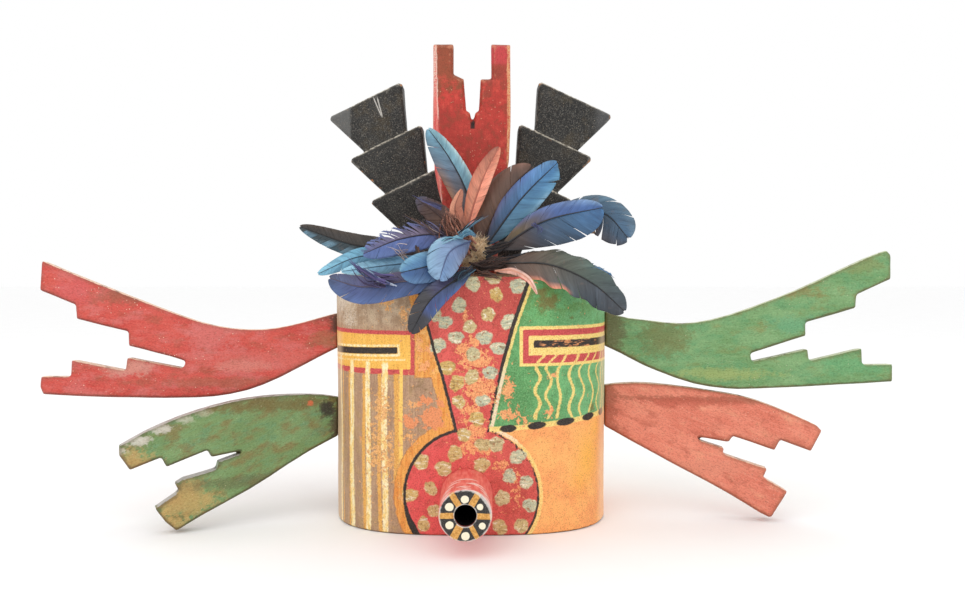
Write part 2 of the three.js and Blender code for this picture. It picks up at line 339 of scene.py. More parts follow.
def line_distance(around, height, points):
    """Distance to a line through points."""
    nearest = np.full(around.shape, FAR_OFF)
    for (x0, z0), (x1, z1) in zip(points[:-1], points[1:]):
        length = max((x1 - x0) ** 2 + (z1 - z0) ** 2, 1e-9)
        share = np.clip(((around - x0) * (x1 - x0) + (height - z0) * (z1 - z0)) / length, 0, 1)
        across = around - x0 - share * (x1 - x0)
        up = height - z0 - share * (z1 - z0)
        nearest = np.minimum(nearest, np.hypot(across, up))
    return nearest


def area_distance(around, height, points):
    """Distance to a closed outline, negative inside it."""
    closed = list(points) + [points[0]]
    inside = np.zeros(around.shape, bool)
    for (x0, z0), (x1, z1) in zip(closed[:-1], closed[1:]):
        crosses = (z0 > height) != (z1 > height)
        edge = x0 + (height - z0) * (x1 - x0) / (z1 - z0 if z1 != z0 else 1e-9)
        inside ^= crosses & (around < edge)
    distance = line_distance(around, height, closed)
    return np.where(inside, -distance, distance)


def box_distance(around, height, left, right, bottom, top):
    """Distance to an upright box, negative inside it."""
    across = np.abs(around - (left + right) / 2) - (right - left) / 2
    up = np.abs(height - (bottom + top) / 2) - (top - bottom) / 2
    return np.maximum(across, up)


def dabs_distance(around, height, dabs):
    """Distance to the nearest of several brush dabs (around, height, tone), and the tone of that dab."""
    rng = random.Random(5)
    nearest = np.full(around.shape, FAR_OFF)
    tone = np.zeros(around.shape)
    for x, z, its_tone in dabs:
        turn = rng.uniform(0, math.pi)
        long = rng.uniform(1.0, 1.16)
        across = (around - x) * math.cos(turn) + (height - z) * math.sin(turn)
        up = (height - z) * math.cos(turn) - (around - x) * math.sin(turn)
        angle = np.arctan2(up, across)
        lobes = 1 + 0.05 * np.sin(3 * angle + turn * 5) + 0.04 * np.sin(5 * angle + turn * 9)
        distance = np.hypot(across / long, up * long) - DAB_RADIUS * rng.uniform(0.9, 1.12) * lobes
        tone = np.where(distance < nearest, its_tone, tone)
        nearest = np.minimum(nearest, distance)
    return nearest, tone


def round_dots(x, z, dots):
    """Distance to the nearest of several round dots (x, z, radius)."""
    nearest = np.full(x.shape, FAR_OFF)
    for dot_x, dot_z, radius in dots:
        nearest = np.minimum(nearest, np.hypot(x - dot_x, z - dot_z) - radius)
    return nearest


def patch_strength(around, height, patches):
    """Soft patches (around, height, half width, half height, strength), the strongest at each point."""
    strongest = np.zeros(around.shape)
    for x, z, across, up, strength in patches:
        here = strength * np.exp(-((around - x) / across) ** 2 - ((height - z) / up) ** 2)
        strongest = np.maximum(strongest, here)
    return strongest


# The drum's painted layout

# The red panel's outline, the ring round the snout and the lines beside them
PANEL = [
    (-39.5, 189), (-33.5, 163.9), (-25.3, 132.3), (-19.9, 115.8), (-10, 76.4), (-9, 60), (10, 60),
    (13.8, 81.9), (22.7, 122.7), (31, 152.9), (43.6, 189),
]
RING = {"around": 0.8, "height": 29.2, "radius": 48.7}
OCHRE_BAND = (0.9, 8.0)
PALE_LINE = (0.9, 3.5)

# Eyes as boxes: left, right, bottom and top
LEFT_EYE = (-140, -37.6, 116.6, 148.6)
LEFT_EYE_INSIDE = (-140, -43.1, 120.6, 145.6)
LEFT_EYE_BLACK = (-122, -52.9, 131.9, 136.7)
LEFT_EYE_LEAN = 0.035
PALE_EDGE = 1.7
UNDER_LINE = (-125, -47, 127.4)
RIGHT_EYE = (35.6, 140, 123.0, 151.9)
RIGHT_EYE_RED = (38.1, 140, 125.1, 149.5)
RIGHT_EYE_PALE = (42.3, 140, 130.9, 145.0)
RIGHT_EYE_BLACK = (46, 140, 136.3, 141.7)

# Middle, half width and top of each stripe. The second list stands left of the first and is yellower.
CREAM_STRIPES = [
    (-109, 1.5, 128), (-92.8, 2.2, 125.5), (-76.6, 2.1, 125.5), (-62.9, 2.3, 125.5), (-50.1, 1.6, 121),
]
YELLOW_STRIPES = [
    (-105.2, 0.7, 118), (-95.4, 1.0, 118), (-80.4, 1.5, 116.5), (-67, 1.5, 117), (-53.6, 2.1, 117),
]
# Middle, sway, height of a crest, distance between crests and half width of each wavy line
WAVY_LINES = [
    (48.8, 1.9, 115, 19, 1.5), (57.0, 2.2, 112, 21, 1.3), (65.0, 1.3, 100, 30, 1.3),
    (75.3, 2.1, 104, 24, 1.5), (84.8, 2.7, 104, 26, 1.2), (94.8, 2.8, 101, 32, 1.1),
    (104.2, 2.5, 105, 23, 1.0), (111.5, 1.8, 100, 26, 0.9), (117.5, 1.2, 104, 26, 0.8),
]
# The line between green and orange, and place and half width of each black oval on it
DASH_LINE = [(13.8, 77.7), (27.3, 78.2), (48.3, 80.0), (70.9, 81.7), (91.6, 83.6), (118, 85.2), (150, 86)]
DASHES = [(27.3, 6.2), (48.3, 6.9), (70.6, 7.5), (91.8, 6.4), (111, 5.5), (128, 5.5)]
# Brush dabs: place around, height, and tone from 0, olive gold, to 1, grey green
DABS = [
    (1.9, 183.1, 0.8), (16.5, 187.6, 0.4), (34.4, 181, 1), (18.8, 174.6, 0), (-7.8, 167.1, 0.9),
    (12.8, 160.5, 0.2), (27.5, 155.4, 1), (-17.7, 155, 1), (-0.2, 151.9, 0.4), (-25.3, 160.5, 0.8),
    (-10.2, 144, 0.9), (10.4, 144, 1), (-23, 138.2, 1), (20.2, 136.2, 1), (2.1, 132.1, 0.6),
    (-16.4, 122.3, 0), (14.2, 118.6, 1), (1, 115.5, 0.3), (-9.6, 111.2, 0), (9, 98.5, 1), (-8.2, 97.6, 0.1),
    (4.9, 85.4, 0), (-4.5, 74, 0.1), (18.6, 67, 0.5), (9, 66.6, 0.3), (-11, 60.4, 0.1), (34.3, 57.6, 0.9),
    (-35.7, 53.9, 0.1), (8.3, 52, 0.2), (-19.3, 49.2, 0.2), (28.3, 43.5, 0.9), (40.6, 38.8, 0.9),
    (-28.6, 34.5, 0.2), (-43.8, 29.4, 0), (23.1, 27.6, 0.4), (43.3, 21.7, 0.9), (-25.6, 18.4, 0.2),
    (-34, 8.2, 0.1), (21.4, 6.6, 0.2), (37, 7.2, 0.3),
]
DAB_RADIUS = 5.25

# Soft patches: place around, height, half width, half height, strength
RUBBED = [
    (4, 128, 13, 9, 1.0), (-5, 136, 6, 6, 0.9), (7, 106, 12, 13, 1.0), (15, 110, 5, 17, 0.9),
    (1, 90, 10, 10, 1.0), (4, 76, 9, 8, 1.1), (0, 65, 9, 7, 1.0), (11, 61, 9, 6, 0.85), (23, 51, 6, 5, 0.9),
    (31, 42, 6, 8, 0.7), (-3.3, 160, 3, 6, 1.0), (4, 141, 6, 4, 0.9), (27.6, 107, 4.5, 9, 1.05),
    (28, 88, 9, 4.5, 0.95), (38, 84, 7, 4, 0.9), (57, 90, 5, 4, 0.8), (61, 116.5, 5, 2, 0.85),
    (-61.5, 169.5, 6, 6, 1.0), (-48, 160, 4, 7, 0.95), (-36.5, 139, 4, 9, 0.8), (-29, 134, 4, 5, 0.75),
    (-34, 122, 6, 5, 0.8), (-45, 72, 7, 9, 0.7), (-70, 63, 9, 26, 0.72), (-66, 92, 9, 16, 0.75),
    (-60, 62, 6, 30, 0.7), (-39, 95, 10, 5, 0.7), (-47, 30, 6, 9, 0.5), (33, 30, 8, 10, 0.55),
]
BRIGHT_PATCHES = [(-27, 86, 9.5, 9, 1.2), (-44, 82, 7, 6, 1.15), (-32, 98, 7, 5, 0.9), (-22, 95, 4, 8, 0.9)]
BROWN_STAINS = [
    (57.5, 168, 10, 8, 1.0), (50, 177, 7, 5, 0.8), (74, 158, 8, 3, 0.5), (98, 90, 12, 5, 0.6),
    (-36, 108, 9, 7, 0.6),
]
YELLOW_GLOW = [(92, 52, 11, 19, 1.0), (84, 38, 9, 12, 0.7), (100, 72, 8, 10, 0.6)]
HATCHED = [(-106, 172, 16, 13, 1.1), (-96, 156, 10, 10, 0.8)]

# The drum's mesh: height of a row in millimetres, and columns over the front and the back
DRUM_ROW = 1.1
FRONT_COLUMNS = 300
BACK_COLUMNS = 130


def drum_columns(in_front, behind):
    """Angles round the drum, packed finer over the painted front than behind, and their arc length."""
    angles = np.linspace(-math.pi, math.pi, 20001)
    x, y = oval(angles, 1.0)
    arc = np.concatenate([[0], np.cumsum(np.hypot(np.diff(x), np.diff(y)))])
    arc -= np.interp(0, angles, arc)
    side = arc[-1] / 2
    front = np.linspace(-side, side, in_front, endpoint=False)
    back = np.linspace(side, 2 * arc[-1] - side, behind, endpoint=False)
    around = np.concatenate([front, np.where(back > arc[-1], back - 2 * arc[-1], back)])
    return np.interp(around, arc, angles), around


def oval(angles, scale):
    """The drum's outline, from the middle of the front towards the viewer's right."""
    c = np.cos(angles - math.pi / 2)
    s = np.sin(angles - math.pi / 2)
    x = np.sign(c) * np.abs(c) ** (2 / CASE_POWER) * CASE_HALF_WIDTH * scale
    y = np.sign(s) * np.abs(s) ** (2 / CASE_POWER) * CASE_HALF_DEPTH * scale
    return x, y


def black_line(around, height, red):
    """The black outline of panel and ring: broad low on the left, thin to the right of the ring."""
    right = around > RING["around"]
    half = np.full(around.shape, 1.05)
    half += 1.5 * np.exp(-((around + 41) / 9) ** 2 - ((height - 5) / 13) ** 2)
    half += np.where(right, 0.35 * np.clip((height - 120) / 20, 0, 1), 0)
    half -= np.where(right, 0.25 * np.clip((118 - height) / 12, 0, 1), 0)
    half -= np.where(right, 0.25 * np.exp(-((height - 60) / 20) ** 2), 0)
    return np.abs(red) - half


def stripe_distance(around, height, stripes):
    """Distance to upright, slightly swaying stripes."""
    nearest = np.full(around.shape, BEYOND)
    for middle, half, top in stripes:
        sway = 0.4 * np.sin(height / 17 + middle)
        nearest = np.minimum(nearest, np.maximum(np.abs(around - middle - sway) - half, height - top))
    return nearest


def wavy_distance(around, height):
    """Distance to the wavy lines, which lean outwards above the eye."""
    nearest = np.full(around.shape, BEYOND)
    for middle, sway, crest, period, half in WAVY_LINES:
        path = middle + sway * np.cos((height - crest) * 2 * math.pi / period)
        path += 0.45 * np.maximum(height - 121, 0)
        nearest = np.minimum(nearest, np.abs(around - path) - 0.86 * half)
    return np.maximum(nearest, np.maximum(height - 131, 84.5 - height))


def drum_paint(around, height):
    """Every painted area of the drum, as distances that are negative inside the area."""
    panel = area_distance(around, height, PANEL)
    ring = np.hypot(around - RING["around"], height - RING["height"]) - RING["radius"]
    red = np.minimum(panel, ring)
    left = around < RING["around"]
    above_dashes = height - np.interp(around, [x for x, _ in DASH_LINE], [z for _, z in DASH_LINE])

    def beside_red(limits):
        """Distance to a band that lies between two distances from the red area."""
        return np.abs(red - sum(limits) / 2) - (limits[1] - limits[0]) / 2

    beside_eye = np.maximum(np.maximum(around + 14, -40 - around), np.abs(height - 132) - 17)
    leaning = height + LEFT_EYE_LEAN * (LEFT_EYE_BLACK[1] - around)
    black_bar = box_distance(around, leaning, *LEFT_EYE_BLACK)
    pale_ring = np.abs(black_bar - PALE_EDGE / 2 - 0.3) - PALE_EDGE / 2
    line_start, line_end, line_height = UNDER_LINE
    beyond_line = np.maximum(around - line_end, line_start - around)
    under_line = np.maximum(np.abs(leaning - line_height) - 0.6, beyond_line)
    ovals = np.full(around.shape, BEYOND)
    for x, half in DASHES:
        ovals = np.minimum(ovals, (np.hypot((around - x) / half, above_dashes / 2.7) - 1) * 2.7)
    cream = stripe_distance(around, height, CREAM_STRIPES) + (around > -48) * BEYOND
    yellow = stripe_distance(around, height, YELLOW_STRIPES)
    dabs, tone = dabs_distance(around, height, DABS)
    boxes = {
        "left_eye": LEFT_EYE,
        "left_eye_inside": LEFT_EYE_INSIDE,
        "right_eye": RIGHT_EYE,
        "right_eye_red": RIGHT_EYE_RED,
        "right_eye_pale": RIGHT_EYE_PALE,
        "right_bar": RIGHT_EYE_BLACK,
    }
    patches = {
        "rubbed": RUBBED,
        "bright": BRIGHT_PATCHES,
        "stained": BROWN_STAINS,
        "glow": YELLOW_GLOW,
        "hatched": HATCHED,
    }
    paint = {name: box_distance(around, height, *limits) for name, limits in boxes.items()}
    paint.update({name: patch_strength(around, height, soft) for name, soft in patches.items()})
    paint.update({
        "green_field": np.where(left, BEYOND, np.maximum(-red, 0.5 - above_dashes)),
        "orange_field": np.where(left, BEYOND, np.maximum(-red, above_dashes - 0.5)),
        "red_panel": red,
        "black_line": black_line(around, height, red),
        "ochre_band": np.where(left, np.minimum(beside_red(OCHRE_BAND), beside_eye), BEYOND),
        "pale_line": np.where(left, BEYOND, beside_red(PALE_LINE)),
        "dash_line": np.where(left, BEYOND, np.maximum(np.abs(above_dashes) - 1.9, -red)),
        "black_ovals": ovals,
        "cream_stripes": cream + np.where((around > -56) & (height < 45), 46 - height, 0),
        "yellow_stripes": yellow + np.where((around > -60) & (height < 38), 39 - height, 0),
        "wavy_lines": wavy_distance(around, height),
        "left_eye_cream": np.minimum(pale_ring, under_line),
        "left_bar": black_bar,
        "dabs": dabs,
        "dab_tone": tone,
        "around": around,
    })
    return paint


def drum_finish():
    """Brushed matte paint over ochre-primed wood, coat by coat, with pits, scratches and rubs."""
    f = Finish("case_paint", specular=0.4)
    around = f.attribute("around")
    height = f.part(f.place, 2)
    streak = f.noise(1.6, detail=5.0, stretch=(1, 1, 12))
    cloud = f.noise(24)
    blotch = f.noise(7, detail=6.0, offset=3.0)
    fine = f.noise(0.9, detail=6.0)
    grit = f.noise(0.5, detail=3.0, offset=8.0)

    # The grounds: orange, taupe and green
    orange = f.between(cloud, 0.35, 0.65, (242, 158, 94), (252, 178, 104))
    orange = f.washes(orange, (blotch, 0.45, 0.65, 0.5, (255, 190, 112)))
    orange = f.mix(f.times(f.attribute("glow"), 0.8), orange, (250, 184, 74))
    orange = f.washes(orange, (streak, 0.52, 0.75, 0.4, (230, 140, 84)))
    taupe = f.washes(
        f.between(streak, 0.3, 0.75, (164, 128, 100), (194, 158, 126)),
        (blotch, 0.5, 0.65, 0.6, (176, 142, 96)),
        (fine, 0.55, 0.75, 0.5, (196, 166, 134)),
        (height, 146, 156, 0.6, f.between(blotch, 0.35, 0.65, (156, 130, 100), (212, 192, 164))),
    )
    hatch = f.noise(1.3, detail=5.0, stretch=(2.2, 2.2, 0.7), distortion=1.0)
    hatched = f.rise(f.shaken(f.attribute("hatched"), hatch, 3.0), 0.3, 1.0)
    taupe = f.mix(f.times(hatched, 0.75), taupe, (220, 206, 186))
    green = f.washes(
        f.between(cloud, 0.38, 0.62, (84, 146, 84), (104, 172, 106)),
        (around, 48, 92, 0.6, (124, 192, 134)),
        (blotch, 0.45, 0.65, 0.6, (82, 140, 80)),
        (fine, 0.5, 0.68, 0.45, (150, 200, 140)),
        (fine, 0.48, 0.34, 0.5, (70, 116, 66)),
    )
    green = f.mix(f.times(f.rise(height, 150, 172), f.rise(blotch, 0.4, 0.55), 0.6), green, (106, 146, 72))
    stained = f.rise(f.shaken(f.attribute("stained"), blotch, 2.2), 0.35, 0.9)
    green = f.mix(f.times(stained, 0.75), green, (122, 104, 52))
    colour, _ = f.coat(taupe, "orange_field", orange, ragged=0.3)
    colour, _ = f.coat(colour, "green_field", green, ragged=0.4)
    colour = f.mix(f.times(stained, f.rise(around, -20, -28), 0.7), colour, (120, 96, 66))

    # Eyes, stripes and wavy lines
    yellow = f.between(streak, 0.35, 0.7, (240, 178, 76), (250, 196, 92))
    straw = f.between(fine, 0.35, 0.65, (240, 202, 104), (252, 226, 146))
    thick = f.noise(2.0, detail=7.0, stretch=(1, 1, 3), offset=61.0)
    cream = f.between(thick, 0.4, 0.6, (250, 214, 130), (255, 240, 194))
    yellower = f.times(f.rise(around, -57, -55), f.rise(around, 10, 0), f.rise(height, 126, 124))
    cream = f.mix(yellower, cream, (252, 206, 104))
    yellow_stripe = f.between(fine, 0.4, 0.65, (226, 158, 62), (246, 192, 98))
    eye_red = f.between(fine, 0.35, 0.6, (186, 62, 62), (212, 86, 84))
    colour = f.coats(
        colour,
        ("left_eye", eye_red, {}),
        ("left_eye_inside", yellow, dict(ragged=0.7)),
        ("left_eye_cream", cream, dict(ragged=0.45, cover=0.92)),
        ("right_eye", straw, {}),
        ("right_eye_red", eye_red, {}),
        ("right_eye_pale", straw, {}),
        ("yellow_stripes", yellow_stripe, dict(ragged=1.5, soft=0.5, cover=0.85, size=1.6)),
        ("cream_stripes", cream, dict(ragged=1.3, soft=0.5, cover=0.93, size=1.6)),
        ("wavy_lines", straw, dict(ragged=1.3, soft=0.4, cover=0.9, size=1.5)),
    )

    # The red panel and ring, with the ochre band and the pale line round them
    ochre = f.between(streak, 0.35, 0.65, (222, 138, 58), (240, 172, 84))
    paler = f.times(f.rise(blotch, 0.5, 0.62), f.rise(height, 110, 118), 0.7)
    ochre = f.mix(paler, ochre, (246, 192, 116))
    brown = f.mix(fine, (150, 96, 56), (190, 130, 80))
    red = f.between(cloud, 0.35, 0.65, (206, 76, 70), (226, 96, 88))
    red = f.mix(f.times(f.rise(around, 4, -30), f.rise(height, 80, 60), 0.7), red, (230, 84, 84))
    red = f.washes(red, (around, 8, 30, 0.5, (200, 78, 66)), (blotch, 0.48, 0.65, 0.55, (178, 64, 52)))
    red = f.mix(f.times(f.rise(height, 132, 168), f.rise(around, -18, 4), 0.45), red, (170, 66, 58))
    red = f.washes(red, (fine, 0.56, 0.7, 0.5, (240, 132, 118)))
    pale = f.mix(f.times(f.rise(height, 132, 112), f.rise(height, 62, 74)), straw, (253, 226, 190))
    colour, _ = f.coat(colour, "ochre_band", ochre, ragged=2.0, size=3.4)
    band_edge = f.minus(f.size_of(f.attribute("ochre_band")), 0.35)
    colour = f.coats(
        colour,
        (band_edge, brown, dict(ragged=1.1, cover=0.55)),
        ("red_panel", red, dict(ragged=0.3)),
        ("pale_line", pale, dict(ragged=1.1, cover=0.85)),
        ("dash_line", straw, dict(ragged=0.6, cover=0.9)),
    )

    # Paint rubbed and flaked down to the orange ground, before the dabs and the black lines went on
    flake = f.noise(3.6, detail=9.0, offset=20.0, distortion=0.6)
    speck = f.noise(1.1, detail=6.0, offset=27.0)
    loose = f.add(f.times(f.minus(flake, 0.5), 3.2), f.times(f.minus(speck, 0.5), 1.3))
    rubbed = f.rise(f.add(f.attribute("rubbed"), loose), 0.5, 0.64)
    ground = f.between(fine, 0.38, 0.62, (230, 140, 90), (252, 184, 122))
    left_ground = f.between(fine, 0.4, 0.6, (214, 148, 88), (246, 192, 122))
    ground = f.between(around, -30, -50, ground, left_ground)
    colour = f.mix(f.times(rubbed, 0.92), colour, ground)
    bright = f.shaken(f.attribute("bright"), flake, 2.8)
    colour = f.washes(colour, (bright, 0.55, 0.66, 0.95, f.mix(fine, (212, 118, 74), (250, 168, 112))))
    bright_edge = f.times(f.size_of(f.minus(bright, 0.56)), 20)
    colour, _ = f.coat(colour, bright_edge, brown, ragged=0.6, cover=0.5)

    bristles = f.noise(2.6, detail=6.0, stretch=(2.6, 2.6, 1), offset=2.0, distortion=1.2)
    dab = f.washes(
        f.mix(f.attribute("dab_tone"), (206, 174, 96), (184, 198, 172)),
        (bristles, 0.46, 0.58, 0.6, (222, 206, 152)),
        # The palest bristle streaks are painted highlights on the raised dabs
        (bristles, 0.56, 0.66, 0.85, (246, 240, 218)),
        (bristles, 0.44, 0.35, 0.75, (132, 116, 74)),
        (f.noise(2.0, detail=6.0, offset=6.0), 0.58, 0.66, 0.85, (158, 104, 58)),
    )
    colour, dabs = f.coat(colour, "dabs", dab, ragged=1.7, soft=0.6, cover=0.93, size=2.6)

    black = f.between(fine, 0.4, 0.7, (34, 28, 26), (70, 58, 48))
    missing = f.times(f.rise(around, 3, 14), f.rise(height, 44, 54), f.rise(height, 126, 96), 7.0)
    broken = f.times(f.minus(f.noise(2.4, detail=7.0, offset=13.0), 0.46), missing)
    colour, lines = f.coat(colour, f.add(f.attribute("black_line"), broken), black, ragged=0.8)
    rust = f.noise(1.6, detail=6.0, stretch=(3, 3, 1), offset=5.0)
    rusty = f.times(f.rise(around, 49, 54), f.rise(around, 104, 96), f.rise(rust, 0.5, 0.6))
    colour = f.coats(colour, ("left_bar", black, {}), ("right_bar", f.mix(rusty, black, (214, 142, 90)), {}))
    colour, ovals = f.coat(colour, "black_ovals", black, ragged=0.6)

    # Wear over everything: flecks, pits and hairline scratches, a painted highlight towards the sides, and a
    # thin dark line at the foot
    flecks = f.noise(1.5, detail=7.0, offset=31.0)
    pits = f.times(f.spots(2.4, 0.08, 0.17), f.rise(f.noise(10, offset=15.0), 0.46, 0.62))
    low_pits = f.times(f.spots(1.5, 0.12, 0.24), f.rise(height, 40, 6), f.rise(around, 46, 52))
    hair = f.noise(0.7, detail=3.0, stretch=(9, 9, 1), offset=44.0)
    tooth = f.noise(0.8, detail=5.0, offset=71.0)
    side = f.minus(f.size_of(around), 102.0)
    # A pale painted highlight on the drum's sides, towards its outline
    side_highlight = f.times(f.rise(side, 0, 12), f.rise(side, 44, 22), f.rise(height, 150, 140), 0.4)
    # A thin dark line along the foot, darker towards the bottom edge
    foot = f.add(height, f.times(f.noise(6.0), 2.0))
    colour = f.washes(colour, (flecks, 0.69, 0.72, 0.75, (250, 206, 144)))
    colour = f.mix(f.times(pits, 0.6), colour, (128, 76, 46))
    colour = f.mix(f.times(low_pits, 0.55), colour, (170, 92, 50))
    colour = f.washes(colour, (hair, 0.69, 0.72, 0.5, (96, 66, 44)))
    colour = f.tinted(f.times(f.rise(tooth, 0.49, 0.36), 0.55), colour, (166, 148, 136))
    colour = f.tinted(f.times(f.rise(tooth, 0.54, 0.68), 0.45), colour, (90, 82, 72), "ADD")
    colour = f.mix(side_highlight, colour, (252, 222, 186))
    colour = f.washes(colour, (foot, 2.4, 1.3, 0.8, (60, 42, 30)))
    bare = f.mix(f.noise(14, detail=5.0, stretch=(4, 1, 1)), (130, 92, 60), (168, 126, 86))
    colour = f.mix(f.attribute("bare"), colour, bare)

    raised = f.add(f.times(grit, 0.45), f.times(streak, 0.45))
    raised = f.minus(raised, f.times(pits, 0.8))
    raised = f.add(raised, f.times(f.add(dabs, f.add(lines, ovals)), 0.4))
    raised = f.minus(raised, f.times(rubbed, 0.45))
    raised = f.add(raised, f.times(hatched, 0.5))
    return f.done(colour, f.add(f.times(fine, 0.3), 0.42), raised, 0.3, 0.8)


def drum_profile():
    """The drum's section as rings (share of the outline, height, kind), outside, under and inside."""
    rim = CASE_EDGE / CASE_HALF_WIDTH
    inner = 1 - CASE_WALL / CASE_HALF_WIDTH
    ceiling = CASE_HEIGHT - CASE_WALL
    rings = [(share, CASE_HEIGHT, "top") for share in np.linspace(0.03, 1 - rim, 20)]
    for turn in (0.3, 0.6):
        lean = turn * math.pi / 2
        rings.append((1 - rim * (1 - math.sin(lean)), CASE_HEIGHT - CASE_EDGE * (1 - math.cos(lean)), "side"))
    for height in np.linspace(CASE_HEIGHT - CASE_EDGE, CASE_EDGE, int(CASE_HEIGHT / DRUM_ROW)):
        rings.append((1.0, height, "side"))
    rings.append((1 - rim * 0.4, CASE_EDGE * 0.3, "side"))
    rings.append((1 - rim, 0.0, "bare"))
    rings.append((inner, 0.0, "inside"))
    rings += [(inner, height, "inside") for height in np.linspace(4, ceiling, 10)]
    rings += [(inner * share, ceiling, "bare") for share in (0.7, 0.4, 0.03)]
    return rings


def build_drum():
    """The hollow oval drum as one closed mesh: outside, top, inside and rims."""
    angles, around = drum_columns(FRONT_COLUMNS, BACK_COLUMNS)
    columns = len(angles)
    profile = drum_profile()
    points = []
    for share, height, kind in profile:
        x, y = oval(angles, share)
        if kind == "inside":
            y = y * (CASE_HALF_DEPTH - CASE_WALL) / CASE_HALF_DEPTH / share
        points.append(np.stack([x, y, np.full(columns, height)], axis=1))
    points = np.concatenate(points)
    world = points * MM + np.array(CENTRE)
    outward = points[:, :2] / np.maximum(np.linalg.norm(points[:, :2], axis=1), 1e-6)[:, None]
    world[:, :2] += outward * (rough(world, 45, 0.5, 1) + rough(world, 9, 0.12, 2))[:, None]
    faces = closed_tube(len(profile), columns, inside_out=True)
    unpainted = CASE_HEIGHT + 40
    heights = np.repeat([height if kind == "side" else unpainted for _, height, kind in profile], columns)
    paint = drum_paint(np.tile(around, len(profile)), heights)
    paint["bare"] = np.repeat([0.0 if kind == "side" else 1.0 for _, _, kind in profile], columns)
    piece = make_object("painted_drum", world, faces, paint, drum_finish())
    return finish_piece(piece, "case_paint", "mask_case")


# Snout: a tube with red sides and a black end face with ochre bars and cream dots

SNOUT_BORE = 7.4
SNOUT_EDGE = 1.2
SNOUT_TAPER = 0.95
SNOUT_COLUMNS = 160
FAR = 20.0
# Angle and width of each bar, then place and radius of each dot, on the end face
SNOUT_BARS = [(-2, 4.0), (59.7, 4.4), (122, 4.0), (180, 4.0), (242, 5.2), (298, 3.2)]
SNOUT_DOTS = [
    (-0.3, 11, 2.7), (-10.5, 5.9, 2.8), (-10.5, -6.3, 2.7),
    (0.1, -13.6, 2.8), (11.4, -6.9, 2.3), (9.8, 5.9, 2.2),
]
# Pale brush strokes round the side: distance behind the tip, and the angles where each starts and ends
SNOUT_STROKES = [
    (3.0, 75, 105), (8.5, 78, 112), (15, 62, 92), (2.2, 5, 58), (5.5, 12, 50), (9, 22, 60), (14, 30, 70),
    (3.2, 118, 172), (6.5, 124, 165), (10, 120, 160), (15, 112, 150), (20, 100, 140), (19, 40, 80),
    (26, 60, 130),
]


def snout_finish():
    """Red sides with pale strokes, a black end with ochre bars, cream dots and a worn rim, and painted shade
    in the bore.
    """
    f = Finish("snout_paint", specular=0.4)
    streak = f.noise(2.2, detail=5.0, stretch=(1, 5, 1))
    fine = f.noise(0.8, detail=5.0)
    red = f.between(streak, 0.35, 0.7, (222, 90, 84), (242, 136, 124))
    red = f.washes(red, (f.noise(5, offset=3.0), 0.5, 0.7, 0.4, (200, 76, 66)))
    white = f.mix(fine, (240, 214, 200), (252, 246, 238))
    black = f.between(fine, 0.45, 0.75, (34, 32, 31), (92, 90, 86))
    ochre = f.between(f.noise(1.4, detail=5.0), 0.35, 0.65, (190, 132, 58), (226, 172, 92))
    cream = f.mix(fine, (232, 218, 180), (252, 246, 226))
    rim = f.mix(fine, (196, 190, 182), (246, 240, 232))
    colour, _ = f.coat(red, "strokes", white, ragged=0.45, soft=0.35, cover=0.85)
    colour, _ = f.coat(colour, "face", black, ragged=0.25, soft=0.2)
    colour, bars = f.coat(colour, "bars", ochre, ragged=0.35, soft=0.2)
    colour, dots = f.coat(colour, "dots", cream, ragged=0.35, soft=0.2)
    colour, _ = f.coat(colour, "rim", rim, ragged=1.1, cover=0.7, soft=0.5, size=3.0)
    # Inside the bore, near black: painted shade of the deep hole
    colour = f.mix(f.attribute("bore"), colour, (14, 12, 11))
    raised = f.add(f.times(fine, 0.5), f.add(f.times(dots, 0.8), f.times(bars, 0.5)))
    return f.done(colour, f.add(f.times(fine, 0.25), 0.38), raised, 0.3, 0.7)


def snout_rings(radius):
    """Rings (radius, depth, kind) from the drum along the side, over the end and into the bore."""
    tip = radius * SNOUT_TAPER
    face = tip - SNOUT_EDGE
    rings = []
    for depth in np.linspace(0, 1, 48)[::-1]:
        rings.append((radius * (SNOUT_TAPER + (1 - SNOUT_TAPER) * depth), depth, "side"))
    for lean in np.linspace(0.2, 1, 5) * math.pi / 2:
        rings.append((tip - SNOUT_EDGE * (1 - math.cos(lean)), -SNOUT_EDGE * math.sin(lean), "end"))
    for share in np.linspace(1, 0, 34)[1:]:
        rings.append((SNOUT_BORE + (face - SNOUT_BORE) * share, -SNOUT_EDGE, "end"))
    return rings + [(SNOUT_BORE, depth, "bore") for depth in np.linspace(0.02, 0.98, 12)]


def end_paint(x, z, angle, size, tip):
    """Distances to the painted areas of the snout's end face."""
    bars = np.full(angle.shape, FAR)
    for turn, width in SNOUT_BARS:
        a = math.radians(turn)
        ahead = x * math.cos(a) + z * math.sin(a)
        aside = np.abs(x * math.sin(a) - z * math.cos(a)) - width / 2
        bars = np.minimum(bars, np.where(ahead > SNOUT_BORE, aside, FAR))
    upper_right = np.clip(np.cos(angle - math.radians(35)), 0, 1)
    outer_line = np.abs(size - tip + 0.6) - (0.35 + 1.3 * upper_right ** 4)
    inner_line = np.abs(size - SNOUT_BORE - 0.3) - 0.15
    return {
        "face": np.hypot(x, z) - tip + 0.7,
        "bars": bars,
        "dots": round_dots(x, z, SNOUT_DOTS),
        "rim": np.minimum(outer_line, inner_line),
    }


def stroke_distance(degrees, from_tip):
    """Distance to the pale brush strokes round the snout's side."""
    nearest = np.full(degrees.shape, FAR)
    for at, first, last in SNOUT_STROKES:
        taper = np.clip(1 - np.abs(degrees - (first + last) / 2) / ((last - first) / 2), -1, 1)
        wave = 0.8 * np.sin(np.radians(degrees * 3 + at * 40))
        stroke = np.abs(from_tip - at - wave) - 1.05 * np.sqrt(np.maximum(taper, 0)) + (taper < 0) * 5
        nearest = np.minimum(nearest, stroke)
    return nearest


